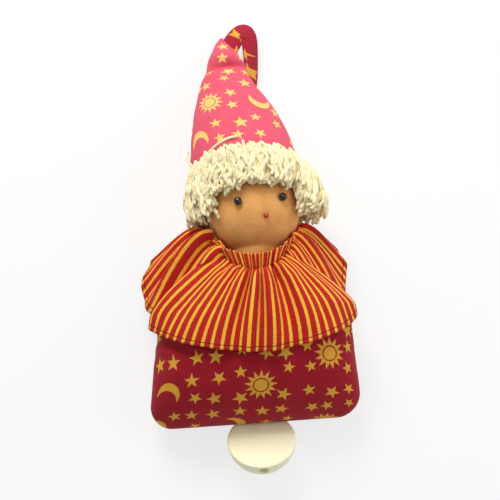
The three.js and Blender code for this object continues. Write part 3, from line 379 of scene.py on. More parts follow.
@dataclass(frozen=True)
class PrintedCotton(Cotton):
    """Crimson cotton with a yellow print of five-pointed stars, crescents and suns."""

    # Painted shade: these ground and motif colours are darker than the cloth's own, set for the bag, which
    # lies further from the key lamp
    ground: int = 0xA00B20
    motif: int = 0xE2A736
    star_every: float = 12.5
    star_outer: float = 4.9
    star_inner: float = 1.95
    large_every: float = 42.0
    clear_round_large: float = 13.0
    disc: float = 3.7
    ray_inner: float = 4.5
    ray_valley: float = 5.3
    ray_outer: float = 9.2
    rays: int = 13
    crescent: float = 7.6
    bite: float = 7.0
    bite_shift: float = 4.3
    edge: float = 0.16  # soft edge of the screen print
    bleed: float = 0.7
    shift: tuple[float, float] = (0.0, 0.0)

    @staticmethod
    def burst(graph: Graph, radius: Socket, turn: Socket, tips: int, outer: float, inner: float) -> Socket:
        """How far a point lies outside a pointed star, in millimetres."""
        half = math.pi / tips
        k1 = inner * math.sin(half)
        k2 = outer - inner * math.cos(half)
        size = math.hypot(k1, k2)
        folded = graph.math("PINGPONG", turn, half)
        along = graph.math("MULTIPLY", graph.math("COSINE", folded), k1 / size)
        facing = graph.math("MULTIPLY_ADD", graph.math("SINE", folded), k2 / size, along)
        return graph.math("MULTIPLY_ADD", radius, facing, -outer * k1 / size)

    @staticmethod
    def polar(graph: Graph, offset: Socket, turn: Socket) -> tuple[Socket, Socket]:
        """The length and the angle of an offset, turned by a share of a full turn."""
        split = graph.split(offset)
        angle = graph.math("ARCTAN2", split["Y"], split["X"])
        return graph.vector("LENGTH", offset), graph.math("MULTIPLY_ADD", turn, math.tau, angle)

    def ink(self, graph: Graph, distance: Socket) -> Socket:
        """1 inside a motif and 0 outside, with the print's soft edge."""
        return graph.span(distance, self.edge, -self.edge)

    def large_cells(self, graph: Graph, place: Socket) -> bpy.types.NodeOutputs:
        """The wide cells that each hold one sun or crescent."""
        return graph.cells(place, self.large_every, 0.55)

    def stars(self, graph: Graph, place: Socket) -> Socket:
        """The scattered stars, each turned its own way and clear of the large motifs."""
        cells = graph.cells(place, self.star_every, 0.42)
        own = graph.add("SeparateColor", cells["Color"]).outputs
        offset = graph.vector("SUBTRACT", place, cells["Position"])
        sized = graph.scaled(offset, graph.span(own[1], 0.0, 1.0, 0.98, 1.38))
        star = self.burst(graph, *self.polar(graph, sized, own[0]), 5, self.star_outer, self.star_inner)
        large = self.large_cells(graph, cells["Position"])
        away = graph.vector("DISTANCE", cells["Position"], large["Position"])
        free = graph.math("GREATER_THAN", away, self.clear_round_large)
        return graph.math("MULTIPLY", self.ink(graph, star), free)

    def large(self, graph: Graph, place: Socket) -> Socket:
        """The suns and crescents."""
        cells = self.large_cells(graph, place)
        own = graph.add("SeparateColor", cells["Color"]).outputs
        offset = graph.vector("SUBTRACT", place, cells["Position"])
        radius, turned = self.polar(graph, offset, own[2])
        rays = self.burst(graph, radius, turned, self.rays, self.ray_outer, self.ray_valley)
        ring = graph.math("MAXIMUM", rays, graph.math("SUBTRACT", self.ray_inner, radius))
        sun = graph.math("MINIMUM", graph.math("SUBTRACT", radius, self.disc), ring)
        way = graph.math("MULTIPLY", own[2], math.tau)
        side = graph.add("CombineXYZ", graph.math("COSINE", way), graph.math("SINE", way)).outputs[0]
        to_bite = graph.vector("DISTANCE", offset, graph.scaled(side, self.bite_shift))
        bitten = graph.math("SUBTRACT", self.bite, to_bite)
        moon = graph.math("MAXIMUM", graph.math("SUBTRACT", radius, self.crescent), bitten)
        choose = graph.math("GREATER_THAN", own[0], 0.5)
        return graph.mix(choose, self.ink(graph, sun), self.ink(graph, moon))

    def build(self, graph: Graph) -> None:
        """Print the motifs over the ground."""
        flat = graph.millimetres("UV")
        place = graph.vector("ADD", flat, (*self.shift, 0.0))
        off = graph.vector("SUBTRACT", graph.noise(place, 0.9, 1.0, "Color"), (0.5, 0.5, 0.5))
        uneven = graph.vector("MULTIPLY_ADD", off, (self.bleed, self.bleed, 0.0), place)
        marks = graph.math("MAXIMUM", self.stars(graph, uneven), self.large(graph, uneven))
        self.cloth(graph, graph.mix(marks, self.ground, self.motif), flat)


@dataclass(frozen=True)
class StripedCotton(Cotton):
    """Woven stripes of crimson and yellow, with a dark thread at each edge and a stitched hem."""

    red: int = 0xBE1812
    yellow: int = 0xFFB43C
    edge_thread: int = 0x6A1408
    stitch: int = 0x4A0A0C
    period: float = STRIPE_EVERY
    yellow_share: float = 0.42
    hem_stitch_at: float = 2.6  # from the edge
    stitch_width: float = 0.45
    stitch_length: float = 3.0

    def build(self, graph: Graph) -> None:
        """Lay the stripes along the cloth's length and the hem's stitches across them."""
        place = graph.millimetres("UV")
        split = graph.split(place)
        shifted = graph.math("MULTIPLY_ADD", graph.noise(place, 0.5, 1.0), 0.5, split["X"])
        folded = graph.math("PINGPONG", shifted, self.period / 2)
        from_edge = graph.math("SUBTRACT", folded, self.period * self.yellow_share / 2)
        ground = graph.mix(graph.span(from_edge, 0.12, -0.12), self.red, self.yellow)
        dark = graph.span(graph.math("ABSOLUTE", from_edge), 0.32, 0.12, 0.0, 0.75)
        edged = graph.mix(dark, ground, self.edge_thread)
        off_seam = graph.math("ABSOLUTE", graph.math("SUBTRACT", split["Y"], self.hem_stitch_at))
        half = self.stitch_width / 2
        line = graph.span(off_seam, half + 0.15, half - 0.1)
        dash = graph.math("PINGPONG", split["X"], self.stitch_length / 2)
        sewn = graph.math("MULTIPLY", line, graph.span(dash, 0.1, 0.35, 0.35, 1.0))
        self.cloth(graph, graph.mix(sewn, edged, self.stitch), place)


@dataclass(frozen=True)
class Tricot(Finish):
    """Skin-tone cotton knit drawn tight over wool: matt, with fine upright ribs, a faint blush and painted
    shade under the fringe.
    """

    skin: int = 0xF0B068
    tan: int = 0xD8964E
    blush: int = 0xD8724A
    # Painted shade: the forehead darkens towards the fringe between these heights, where the fringe's shadow
    # falls
    fringe_shade: int = 0x8E5A22
    fringe_shade_heights: tuple[float, float] = (84.0, 92.0)  # along the doll, in millimetres of the row frame
    rib_mm: float = 0.8  # drawn coarser than the real 0.5 mm
    blush_at: tuple[float, float, float] = (9.0, 2.0, 52.0)
    blush_reach: float = 15.0

    def build(self, graph: Graph) -> None:
        """Colour the knit and raise its ribs."""
        place = graph.millimetres("Object")
        mottle = graph.noise(place, 0.12, 4.0)
        fine = graph.noise(place, 1.1, 2.0)
        tone = graph.mix(graph.span(mottle, 0.35, 0.7, 0.0, 0.55), self.skin, self.tan)
        away = graph.vector("DISTANCE", place, tuple(metres(*self.blush_at) / MM))
        near = graph.span(away, self.blush_reach, 0.0, 0.0, 0.5)
        blushed = graph.mix(graph.math("MULTIPLY", near, mottle), tone, self.blush)
        # Painted shadow of the fringe, mixed into the skin's colour
        fringe_shade_share = graph.span(graph.split(place)["Y"], *self.fringe_shade_heights, 0.0, 0.6)
        fringe_shaded = graph.mix(fringe_shade_share, blushed, self.fringe_shade)
        colour = graph.scaled(fringe_shaded, graph.span(fine, 0.3, 0.7, 0.93, 1.06))
        turns = graph.math("MULTIPLY", graph.split(graph.millimetres("UV"))["X"], math.tau / self.rib_mm)
        height = graph.math("MULTIPLY_ADD", graph.math("SINE", turns), 0.25, fine)
        graph.shade(colour, height, 0.12, 0.9, specular_ior_level=0.25, sheen_weight=0.12)


@dataclass(frozen=True)
class CottonYarn(Finish):
    """Undyed cotton yarn: cream, matt, plied, with painted shade in the slanting grooves between its plies.
    """

    light: int = 0xFFFAD6
    # The darker tone serves both the yarn's uneven tone and the painted shade in its grooves
    dark: int = 0xECD498
    ply_mm: float = 3.2

    def build(self, graph: Graph) -> None:
        """Colour each strand by its own tone, with its ply in the relief."""
        split = graph.split(graph.millimetres("UV"))
        slant = graph.math("ADD", split["X"], split["Y"])
        turns = graph.math("MULTIPLY", slant, math.tau / self.ply_mm)
        ply = graph.span(graph.math("SINE", turns), -1.0, 1.0)
        soft = graph.span(graph.noise(graph.millimetres("Object"), 0.45, 3.0), 0.35, 0.68, 0.0, 0.7)
        # Painted shade: darker where the ply's relief is low, in the grooves between the plies
        groove_shade = graph.span(ply, 0.0, 0.35, 0.35, 0.0)
        colour = graph.mix(graph.math("MAXIMUM", soft, groove_shade), self.light, self.dark)
        graph.shade(colour, ply, 0.1, 0.8, specular_ior_level=0.3, sheen_weight=0.2)


@dataclass(frozen=True)
class Bead(Finish):
    """A glossy bead of glass or enamel, with an even colour and fine surface waviness."""

    colour: int = 0x0B0A0C
    roughness: float = 0.08

    def build(self, graph: Graph) -> None:
        """Set a dark clear coat with a faint waviness."""
        wave = graph.noise(graph.add("TexCoord").outputs["Object"], 400.0, 2.0)
        colour = graph.mix(wave, self.colour, linear(self.colour, 0.75))
        graph.shade(colour, wave, 0.02, self.roughness, coat_weight=0.6, coat_roughness=0.05)


@dataclass(frozen=True)
class Maple(Finish):
    """Sanded maple: pale, with faint growth lines, short dark flecks and a low sheen."""

    pale: int = 0xFFFFDE
    line: int = 0xF6E8B8
    fleck: int = 0xDCBB88
    ring_mm: float = 3.4
    log_turn: tuple[float, float, float] = (0.55, 0.2, 0.35)

    def build(self, graph: Graph) -> None:
        """Run the grain across the knob's flat face."""
        place = graph.add("TexCoord").outputs["Object"]
        turned = graph.add("Mapping", place, None, self.log_turn, (1000.0,) * 3).outputs[0]
        warped = graph.vector("MULTIPLY_ADD", graph.noise(turned, 0.05, 2.0, "Color"), (14.0,) * 3, turned)
        rings = graph.add(
            "TexWave", graph.vector("MULTIPLY", warped, (0.12, 1.0, 1.0)),
            named={"Scale": 0.96 / self.ring_mm, "Distortion": 2.0, "Detail": 2.0},
            wave_type="BANDS", bands_direction="Y",
        ).outputs["Fac"]
        pores = graph.noise(graph.vector("MULTIPLY", turned, (0.25, 3.0, 3.0)), 1.0, 3.0)
        wood = graph.mix(graph.span(rings, 0.45, 1.0, 0.0, 0.5), self.pale, self.line)
        colour = graph.mix(graph.span(pores, 0.62, 0.75, 0.0, 0.45), wood, self.fleck)
        graph.shade(colour, pores, 0.05, 0.5, specular_ior_level=0.4)


@dataclass(frozen=True)
class HiddenFinish(Finish):
    """A finish of the movement, which the body hides: one colour with a fine grain."""

    colour: int = 0xA9ADB2
    metallic: float = 0.0
    roughness: float = 0.5
    grain_per_m: float = 900.0
    stretch: tuple[float, float, float] = (1.0, 1.0, 1.0)
    sheen: float = 0.0

    def build(self, graph: Graph) -> None:
        """Vary the colour and roughness along the grain."""
        drawn = graph.vector("MULTIPLY", graph.add("TexCoord").outputs["Object"], self.stretch)
        grain = graph.noise(drawn, self.grain_per_m, 3.0)
        colour = graph.mix(grain, self.colour, linear(self.colour, 0.8))
        rough = graph.span(grain, 0.3, 0.7, self.roughness * 0.8, self.roughness * 1.15)
        graph.shade(colour, grain, 0.03, rough, metallic=self.metallic, sheen_weight=self.sheen)


# The doll's pieces


@dataclass
class BodyBag:
    """The stuffed bag that holds the movement, sewn from a front and a back."""

    length: float = 91.0
    foot_y: float = -97.0
    half_width: float = 60.2
    taper: float = 0.109
    corner: float = 14.0
    belly: float = 53.0
    rise: float = 52.0
    tuck: float = 24.0
    foot_z: float = 15.0
    shoulder_at: float = 60.0
    rest_end: float = 52.0
    sag: float = 2.5
    lean: float = 0.06
    fullness: float = 0.8
    neck_x: float = 2.0
    neck_z: float = 29.0
    neck_radius: float = 14.5
    neck_edge: float = 17.5
    wrinkle: float = 0.9
    seam_groove: float = 0.7
    closed_by: float = 0.5
    drag: tuple[float, float, float] = (-38.0, 46.0, 0.9)  # wrinkles at the shoulder: x, s and depth
    columns: int = 150
    rows: int = 90

    def seam(self, s: float) -> float:
        """Height of the side seams."""
        return lerp(self.foot_z, self.neck_z, s / self.length)

    def half(self, s: float) -> float:
        """Half of the width, s from the foot."""
        straight = self.half_width - self.taper * min(s, self.shoulder_at)
        inside = max(0.0, self.corner - s)
        corner = self.corner - math.sqrt(self.corner**2 - inside**2)
        along = clamp01((s - self.shoulder_at) / (self.length - self.shoulder_at))
        return straight - corner - (straight - self.neck_edge) * along**1.3

    def top(self, s: float) -> float:
        """Height of the front, s from the foot."""
        neck_top = self.neck_z + self.neck_radius + 2
        to_foot = clamp01(1 - s / self.rise)
        to_neck = clamp01((s - self.rise) / (self.length - self.rise))
        belly = self.foot_z + 0.6 + (self.belly - self.foot_z - 0.6) * (1 - to_foot**2) ** 0.62
        return belly - (self.belly - neck_top) * to_neck**1.6

    def bottom(self, s: float) -> float:
        """Height of the back before the table flattens it, s from the foot."""
        tucked = 1 - clamp01(1 - s / self.tuck) ** 1.1
        to_neck = clamp01((s - self.rest_end) / (self.length - self.rest_end))
        rise = self.neck_z - self.neck_radius - 2 + self.sag
        return self.foot_z - (self.foot_z + self.sag) * tucked + rise * to_neck**1.5

    def middle(self, y: float) -> float:
        """The middle of the bag across, which leans to one side."""
        return self.neck_x + self.lean * y

    def clear(self, at: Vector, clearance: float) -> Vector:
        """A point moved out from the middle of the bag's section until it is clear of the bag."""
        s = at.y - self.foot_y
        if s < 0 or s > self.length + 4:
            return at
        seam = self.seam(s)
        x, z = at.x - self.middle(at.y), at.z - seam
        height = self.top(s) - seam if z > 0 else seam - max(0.0, self.bottom(s))
        full = 2 / self.fullness
        inside = (abs(x) / (self.half(s) + clearance)) ** full + (abs(z) / (height + clearance)) ** full
        if inside >= 1:
            return at
        out = inside ** (-self.fullness / 2)
        return Vector((self.middle(at.y) + x * out, at.y, seam + z * out))

    def place(self, u: float, v: float) -> Vector:
        """A point of the cloth: u goes round from the middle of the back, v from foot to neck."""
        s = self.length * v**1.35
        y = s + self.foot_y
        angle = from_back(u)
        seam = self.seam(s)
        closing = clamp01(s / self.closed_by) ** 0.5
        up = (self.top(s) - seam) * closing
        down = (seam - self.bottom(s)) * closing
        across = signed_power(math.cos(angle), self.fullness)
        rise = signed_power(math.sin(angle), self.fullness)
        x = self.middle(y) + self.half(s) * across
        z = seam + rise * (up if rise > 0 else down)
        groove = self.seam_groove * math.exp(-((math.sin(angle) / 0.05) ** 2))
        x -= groove * math.copysign(1, across) * smooth(s / 10)
        wave = ripple(x, y, z, 24) * 0.9 + ripple(x + 90, y * 0.6, z, 9) * 0.35
        pulled = ripple(angle * 14, y * 0.25, 4.0, 3.2) * smooth((s - 55) / 30)
        out = self.wrinkle * (0.8 + wave + 0.8 * pulled) * smooth(s / 12)
        drag_x, drag_s, depth = self.drag
        near = math.exp(-(((x - drag_x) / 16) ** 2) - ((s - drag_s) / 13) ** 2)
        out += depth * near * math.sin((s + 0.55 * x) * 0.62)
        x += out * across * 0.8
        z += out * rise if rise > 0 else 0.0
        return Vector((x, y, max(0.05, z)))

    def stuffing_place(self, u: float, v: float) -> Vector:
        """A point of the wool, a little inside the cloth all round."""
        at = self.place(u, lerp(0.24, 0.94, v))
        middle = Vector((self.middle(at.y), at.y, self.seam(at.y - self.foot_y)))
        inward = middle - at
        return at + inward * min(0.5, 3.2 / max(1.0, inward.length))

    def build(self, print_cloth: Material, wool: Material) -> bpy.types.Object:
        """Model the bag and its stuffing and dress them."""
        flat = measured(self.columns, self.rows, self.place, (7.0, 11.0))
        bag = surface("bag_cloth", self.columns, self.rows, self.place, flat, closed=True)
        thicken(bag, 0.8)
        dress(bag, print_cloth)
        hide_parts("bag_front", "bag_back")
        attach(bag, Body.DOLL.value)
        stuff("body_stuffing", self.stuffing_place, wool, "body_wool")
        return bag


@dataclass
class Head:
    """The stuffed head under its knit skin, with the beads of the face."""

    middle: Vector = field(default_factory=lambda: Vector((3.5, 24.0, 31.0)))
    radii: Vector = field(default_factory=lambda: Vector((27.0, 29.0, 28.0)))
    neck_radius: float = 14.5
    neck_from: float = -14.5
    neck_middle: tuple[float, float] = (2.0, 29.0)
    eye_radius: float = 2.35
    eyes: tuple[tuple[float, float], ...] = ((-4.8, 21.4), (20.3, 23.4))
    nose_radius: float = 1.6
    nose: tuple[float, float] = (10.3, 12.8)
    proud: float = 0.45

    def face_height(self, x: float, y: float) -> float:
        """Height of the smooth face over a place."""
        u = (x - self.middle.x) / self.radii.x
        v = (y - self.middle.y) / self.radii.y
        return self.middle.z + self.radii.z * math.sqrt(max(0.0, 1 - u * u - v * v))

    def place(self, u: float, v: float) -> Vector:
        """A point of the skin: u goes round from the back, v from the neck's end to the crown."""
        angle = from_back(u)
        neck_share = 0.16
        out = Vector((math.cos(angle), 0, math.sin(angle)))
        meet = math.pi - math.asin(self.neck_radius / self.radii.x)
        if v < neck_share:
            y_meet = self.middle.y + self.radii.y * math.cos(meet)
            y = lerp(self.neck_from, y_meet, v / neck_share)
            blend = smooth(v / neck_share)
            x = lerp(self.neck_middle[0], self.middle.x, blend) + self.neck_radius * out.x
            z = lerp(self.neck_middle[1], self.middle.z, blend) + self.neck_radius * out.z
            return Vector((x, y, z))
        polar = lerp(meet, 0.0, (v - neck_share) / (1 - neck_share))
        ring = math.sin(polar)
        at = Vector((
            self.middle.x + self.radii.x * ring * out.x,
            self.middle.y + self.radii.y * math.cos(polar),
            self.middle.z + self.radii.z * ring * out.z,
        ))
        normal = Vector((out.x * ring, math.cos(polar), out.z * ring))
        sunk = 0.15 * ripple(at.x, at.y, at.z, 12)
        if at.z > self.middle.z:
            for eye in self.eyes:
                away = math.hypot(at.x - eye[0], at.y - eye[1])
                sunk += 1.0 * math.exp(-((away / 4.2) ** 2))
            away = math.hypot(at.x - self.nose[0], at.y - self.nose[1])
            sunk += 0.5 * math.exp(-((away / 2.6) ** 2))
        return at - normal * sunk

    def cloth(self, u: float, v: float) -> tuple[float, float]:
        """The same point on the flat knit."""
        return (u - 0.5) * 150.0, v * 90.0

    def bead(
        self, name: str, at: tuple[float, float], radius: float, finish: Material,
    ) -> None:
        """A round bead sewn on, a little flat where the thread draws it into the face."""
        mesh = bmesh.new()
        bmesh.ops.create_uvsphere(mesh, u_segments=32, v_segments=20, radius=radius * MM)
        bmesh.ops.scale(mesh, vec=(1.0, 1.0, 0.92), verts=mesh.verts)
        height = self.face_height(*at) + self.proud * radius
        bmesh.ops.translate(mesh, vec=metres(at[0], at[1], height), verts=mesh.verts)
        piece = finished(name, mesh)
        dress(piece, finish)
        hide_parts(name.removesuffix("_bead"))
        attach(piece, Body.DOLL.value)

    def build(self, skin: Material, black: Material, red: Material) -> None:
        """Model the head and its beads."""
        head = surface("head_knit", 72, 64, self.place, self.cloth, closed=True)
        dress(head, skin)
        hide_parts("head_skin")
        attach(head, Body.DOLL.value)
        self.bead("eye_left_bead", self.eyes[0], self.eye_radius, black)
        self.bead("eye_right_bead", self.eyes[1], self.eye_radius, black)
        self.bead("nose_bead", self.nose, self.nose_radius, red)


class Ring(NamedTuple):
    """One ring of the hat."""

    y: float
    slant: float
    x: float
    half: float
    top: float
    bottom: float

    @property
    def middle(self) -> float:
        """The height of its middle."""
        return (self.top + self.bottom) / 2

    @property
    def rise(self) -> float:
        """Half of its height."""
        return (self.top - self.bottom) / 2


@dataclass
class Hat:
    """The long stuffed hat with its bent tip and the strap that hangs the doll up."""

    # Each ring's y, slant, x, half width, top and bottom, from the brim to the tip
    rings: tuple[tuple[float, ...], ...] = (
        (40, 10, 1, 32, 63, 1),
        (52, 5, 0, 31, 60.5, 1),
        (64, 1, -1, 29.3, 56.5, 1),
        (75, 0, -2.2, 27, 51, 1),
        (86, 0, -3.8, 24, 45, 1),
        (98, 0, -5.8, 19.4, 37.5, 1),
        (107, 0, -7, 15.8, 31.5, 1),
        (113, 0, -7, 13.6, 26.5, 1),
        (117, 0, -6.6, 12.4, 23.5, 1),
        (123, 0, -6.8, 10.6, 24, 1.2),
        (130, 0, -7.8, 6.8, 19, 2.5),
        (135, 0, -8.5, 3.8, 15, 4.5),
        (139, 0, -8.7, 1.2, 12, 7.5),
    )
    crease_y: float = 115.5
    crease_depth: float = 2.6
    wrinkle: float = 0.6
    columns: int = 110
    rows: int = 130
    strap_width: float = 12.0
    strap_thickness: float = 1.6
    strap_lean: tuple[float, float] = (84.0, 34.0)
    strap_route: tuple[tuple[float, float, float], ...] = (
        (-8, 126, 11),
        (-4.4, 131.5, 12),
        (-0.8, 136.8, 12.6),
        (3.0, 140.8, 13),
        (6.2, 141.6, 13),
        (8.2, 138, 12.4),
        (8.6, 131, 11.4),
        (8.5, 123, 10),
        (8.2, 115, 8.4),
        (7, 107.5, 7),
        (5.8, 103.5, 6.5),
    )

    def ring(self, v: float) -> Ring:
        """The hat's ring at a share of the way from brim to tip."""
        return Ring(*curve(self.rings, v)[0])

    def place(self, u: float, v: float) -> Vector:
        """A point of the hat: u goes round from the back, v from the brim to the tip."""
        ring = self.ring(v)
        angle = from_back(u)
        x = ring.x + ring.half * math.cos(angle)
        y = ring.y + ring.slant * math.sin(angle)
        z = ring.middle + ring.rise * math.sin(angle)
        upper = max(0.0, math.sin(angle))
        crease = self.crease_depth * math.exp(-(((y - self.crease_y - 0.12 * (x + 7)) / 2.0) ** 2)) * upper
        wave = ripple(x, y, z, 21) + 0.45 * ripple(x + 40, y, z, 8)
        fade = smooth(v / 0.05) * smooth((1 - v) / 0.1)
        out = self.wrinkle * wave * fade
        z += out * math.sin(angle) - crease
        x += out * math.cos(angle)
        return Vector((x, y, max(0.4, z)))

    def stuffing_place(self, u: float, v: float) -> Vector:
        """A point of the wool between the crown of the head and the tip."""
        share = lerp(0.2, 0.86, v)
        ring = self.ring(share)
        at = self.place(u, share)
        inward = Vector((ring.x, at.y, ring.middle)) - at
        return at + inward * min(0.6, 4.4 / max(1.0, inward.length))

    def hem(self, print_cloth: Material) -> bpy.types.Object:
        """The hem turned in at the brim."""

        def place(u: float, v: float) -> Vector:
            """A point round the rolled edge."""
            outer = self.place(u, 0.0)
            roll = math.tau * v
            angle = from_back(u)
            in_out = 0.8 * math.cos(roll) - 0.9
            return Vector((
                outer.x + in_out * math.cos(angle),
                outer.y + 0.8 * math.sin(roll),
                max(0.4, outer.z + in_out * math.sin(angle)),
            ))

        rolled = surface(
            "hat_hem", 96, 10, place, lambda u, v: ((u - 0.5) * 200 + 200.0, 40 + v * 5), closed=True,
        )
        dress(rolled, print_cloth)
        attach(rolled, Body.DOLL.value)
        return rolled

    def strap_point(self, t: float) -> tuple[Vector, Vector, float]:
        """The middle of the strap, its direction and its lean at a share of its way."""
        point, slope = curve(self.strap_route, t)
        lean = math.radians(lerp(self.strap_lean[0], self.strap_lean[1], smooth(t)))
        return point, slope.normalized(), lean

    def strap_place(self, u: float, v: float) -> Vector:
        """A point of the strap: u goes round its section, v along it."""
        point, along, lean = self.strap_point(v)
        turn = Matrix.Rotation(lean, 3, along)
        wide = turn @ Vector((0, 0, 1))
        thick = turn @ Vector((0, 0, 1)).cross(along).normalized()
        angle = math.tau * u
        w = signed_power(math.cos(angle), 0.35) * self.strap_width / 2
        t = signed_power(math.sin(angle), 0.6) * self.strap_thickness / 2
        edge = abs(w) / (self.strap_width / 2)
        t *= 1 - 0.35 * math.exp(-(((edge - 0.78) / 0.08) ** 2))
        at = point + wide * w + thick * t
        at.z = max(0.35, at.z)
        return at

    def build(
        self, print_cloth: Material, strap_cloth: Material, wool: Material,
    ) -> None:
        """Model the hat, its hem, its stuffing and its strap."""
        stuff("hat_stuffing", self.stuffing_place, wool, "hat_wool")
        flat = measured(self.columns, self.rows, self.place, (203.0, 5.0))
        hat = surface("hat_cloth", self.columns, self.rows, self.place, flat, closed=True)
        thicken(hat, 0.8)
        dress(hat, print_cloth)
        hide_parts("hat")
        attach(hat, Body.DOLL.value)
        self.hem(print_cloth)
        strap = surface(
            "loop_strap", 40, 90, self.strap_place, lambda u, v: (u * 25 + 31.0, v * 72 + 64.0), closed=True,
        )
        dress(strap, strap_cloth)
        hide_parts("hanging_loop")
        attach(strap, Body.DOLL.value)


@dataclass(frozen=True)
class HairStation:
    """How far the yarn reaches at one angle round the head."""

    angle: float
    low: float
    high: float
    out: float


@dataclass
class Hair:
    """Strands of cotton yarn sewn on round the face under the brim."""

    hat: Hat
    head: Head
    stations: tuple[HairStation, ...] = (
        HairStation(-32, 16, 30, 36),
        HairStation(0, 15, 44, 43),
        HairStation(30, 15.5, 50, 40),
        HairStation(50, 29, 52, 34.5),
        HairStation(90, 31, 52, 33),
        HairStation(125, 28, 51, 33.5),
        HairStation(150, 14.5, 47, 36.5),
        HairStation(180, 17, 40, 38.5),
        HairStation(212, 18, 30, 34),
    )
    strand_radius: float = 1.0
    sides: int = 7
    steps: int = 16
    fringe: tuple[float, float] = (48.0, 128.0)  # degrees round the head
    fringe_ends: tuple[float, float] = (50.0, 132.0)
    side_ends: tuple[float, float] = (36.0, 136.0)  # the sides keep clear of the face between these
    fringe_drift: float = 9.0
    side_drift: float = 14.0
    # Loose strands: their start and end in doll millimetres
    loose: tuple[tuple[tuple[float, float, float], ...], ...] = (
        ((-22, 49, 54), (-15, 56, 59), (-7, 58.5, 60.5), (-3, 58, 60.8)),
        ((28, 40, 55), (28, 34, 54.5), (25, 29.5, 54.5), (22, 27.2, 54.5)),
        ((-27, 44, 48), (-32, 50, 44), (-33.5, 55, 39), (-32, 59, 36)),
    )

    def at(self, angle: float) -> HairStation:
        """The reach of the yarn at any angle."""
        angle = min(self.stations[-1].angle, max(self.stations[0].angle, angle))
        following = next(i for i, station in enumerate(self.stations) if station.angle >= angle)
        following = max(1, following)
        a, b = self.stations[following - 1], self.stations[following]
        t = (angle - a.angle) / (b.angle - a.angle)
        return HairStation(angle, lerp(a.low, b.low, t), lerp(a.high, b.high, t), lerp(a.out, b.out, t))

    def brim(self, angle: float, up: float, proud: float) -> Vector:
        """A point on the hat's outside, up from its brim, at an angle round the head."""
        ring = Ring(*self.hat.rings[0])
        turn = math.radians(angle)
        return Vector((
            ring.x + (ring.half + proud) * math.cos(turn),
            ring.y + ring.slant * math.sin(turn) + up,
            ring.middle + (ring.rise + proud) * math.sin(turn) - 0.12 * up * max(0.0, math.sin(turn)),
        ))

    def round_head(self, angle: float, y: float, radius: float) -> Vector:
        """A point at a distance from the head's axis."""
        turn = math.radians(angle)
        middle = self.head.middle
        return Vector((middle.x + radius * math.cos(turn), y, middle.z + radius * math.sin(turn)))

    def skin_radius(self, y: float) -> float:
        """How far the head's skin stands from its axis at a height."""
        v = (y - self.head.middle.y) / self.head.radii.y
        return 28.0 * math.sqrt(max(0.05, 1 - v * v))

    def path(self, rng: random.Random, angle: float, depth: float) -> list[Vector]:
        """The way of one strand from the brim to its cut end."""
        reach = self.at(angle)
        fringe = self.fringe[0] < angle < self.fringe[1]
        right = angle < 90
        inward = 8 if right else -8
        drift = rng.gauss(0, self.fringe_drift if fringe else self.side_drift)
        drift += 0 if fringe else inward * rng.random()
        end_angle = angle + drift
        if fringe:
            end_angle = min(self.fringe_ends[1], max(self.fringe_ends[0], end_angle))
        else:
            end_angle = min(self.side_ends[0], end_angle) if right else max(self.side_ends[1], end_angle)
        low = reach.low + rng.uniform(-1.5, 5.0 if fringe else 12.0) * (1.3 - depth)
        low = max(14.5, low)
        out = lerp(self.skin_radius(low) + 2.2, reach.out, depth)
        start = self.brim(angle, rng.uniform(0.5, 5.5) * depth, 0.2 + 1.2 * depth)
        upper = self.round_head(
            lerp(angle, end_angle, 0.3) + rng.gauss(0, 2.5), lerp(reach.high, low, 0.25),
            reach.out * (0.9 + 0.13 * depth),
        )
        lower = self.round_head(
            lerp(angle, end_angle, 0.7) + rng.gauss(0, 3.5), lerp(reach.high, low, 0.75), out + 2.5 * depth,
        )
        tuck = rng.uniform(-2.5, 2.2) if fringe else rng.uniform(-5, 2.5)
        end = self.round_head(end_angle, low, max(self.skin_radius(low) + 1.0, out + tuck))
        phase, length = rng.uniform(0, 6.28), rng.uniform(8, 13)
        sway = rng.uniform(0.5, 1.35)
        points = []
        for k in range(self.steps + 1):
            t = k / self.steps
            point = bezier(start, upper, lower, end, t)
            turn = phase + math.tau * t * 26 / length
            crimp = sway * smooth(t / 0.25)
            away = (point - self.head.middle).normalized()
            side = Vector((-away.z, 0.3 * math.sin(phase), away.x))
            point += side * math.sin(turn) * crimp + away * math.cos(turn) * crimp * 0.5
            point.z = max(0.9, point.z)
            points.append(point)
        return points

    def strand(self, mesh: bmesh.types.BMesh, points: Sequence[Vector], radius: float, tone: float) -> None:
        """Add one strand of yarn along its points; tone moves its cloth map, so that no two look alike."""
        layer = mesh.loops.layers.uv.verify()
        made = bmesh.ops.create_grid(mesh, x_segments=self.sides, y_segments=len(points) - 1, size=0.5)
        shares = {vert: (vert.co.x + 0.5, vert.co.y + 0.5) for vert in made["verts"]}
        faces = {face for vert in made["verts"] for face in vert.link_faces}
        for face in faces:
            for loop in face.loops:
                u, v = shares[loop.vert]
                loop[layer].uv = Vector((u * 4.2 + tone, v * 28 + tone)) * MM
        last = len(points) - 1
        for vert, (u, v) in shares.items():
            k = round(v * last)
            along = (points[min(last, k + 1)] - points[max(0, k - 1)]).normalized()
            side = along.cross(Vector((0.12, 0.9, 0.4))).normalized()
            over = side.cross(along)
            turn = math.tau * u
            thick = radius * (0.75 if k in (0, last) else 1.0) * (1.12 if k == last - 1 else 1.0)
            at = points[k] + (side * math.cos(turn) + over * math.sin(turn)) * thick
            vert.co = metres(at.x, at.y, max(0.25, at.z))

    def curved(self, points: Sequence[tuple[float, float, float]]) -> list[Vector]:
        """The way of a loose strand between its points."""
        return [bezier(*map(Vector, points), k / self.steps) for k in range(self.steps + 1)]

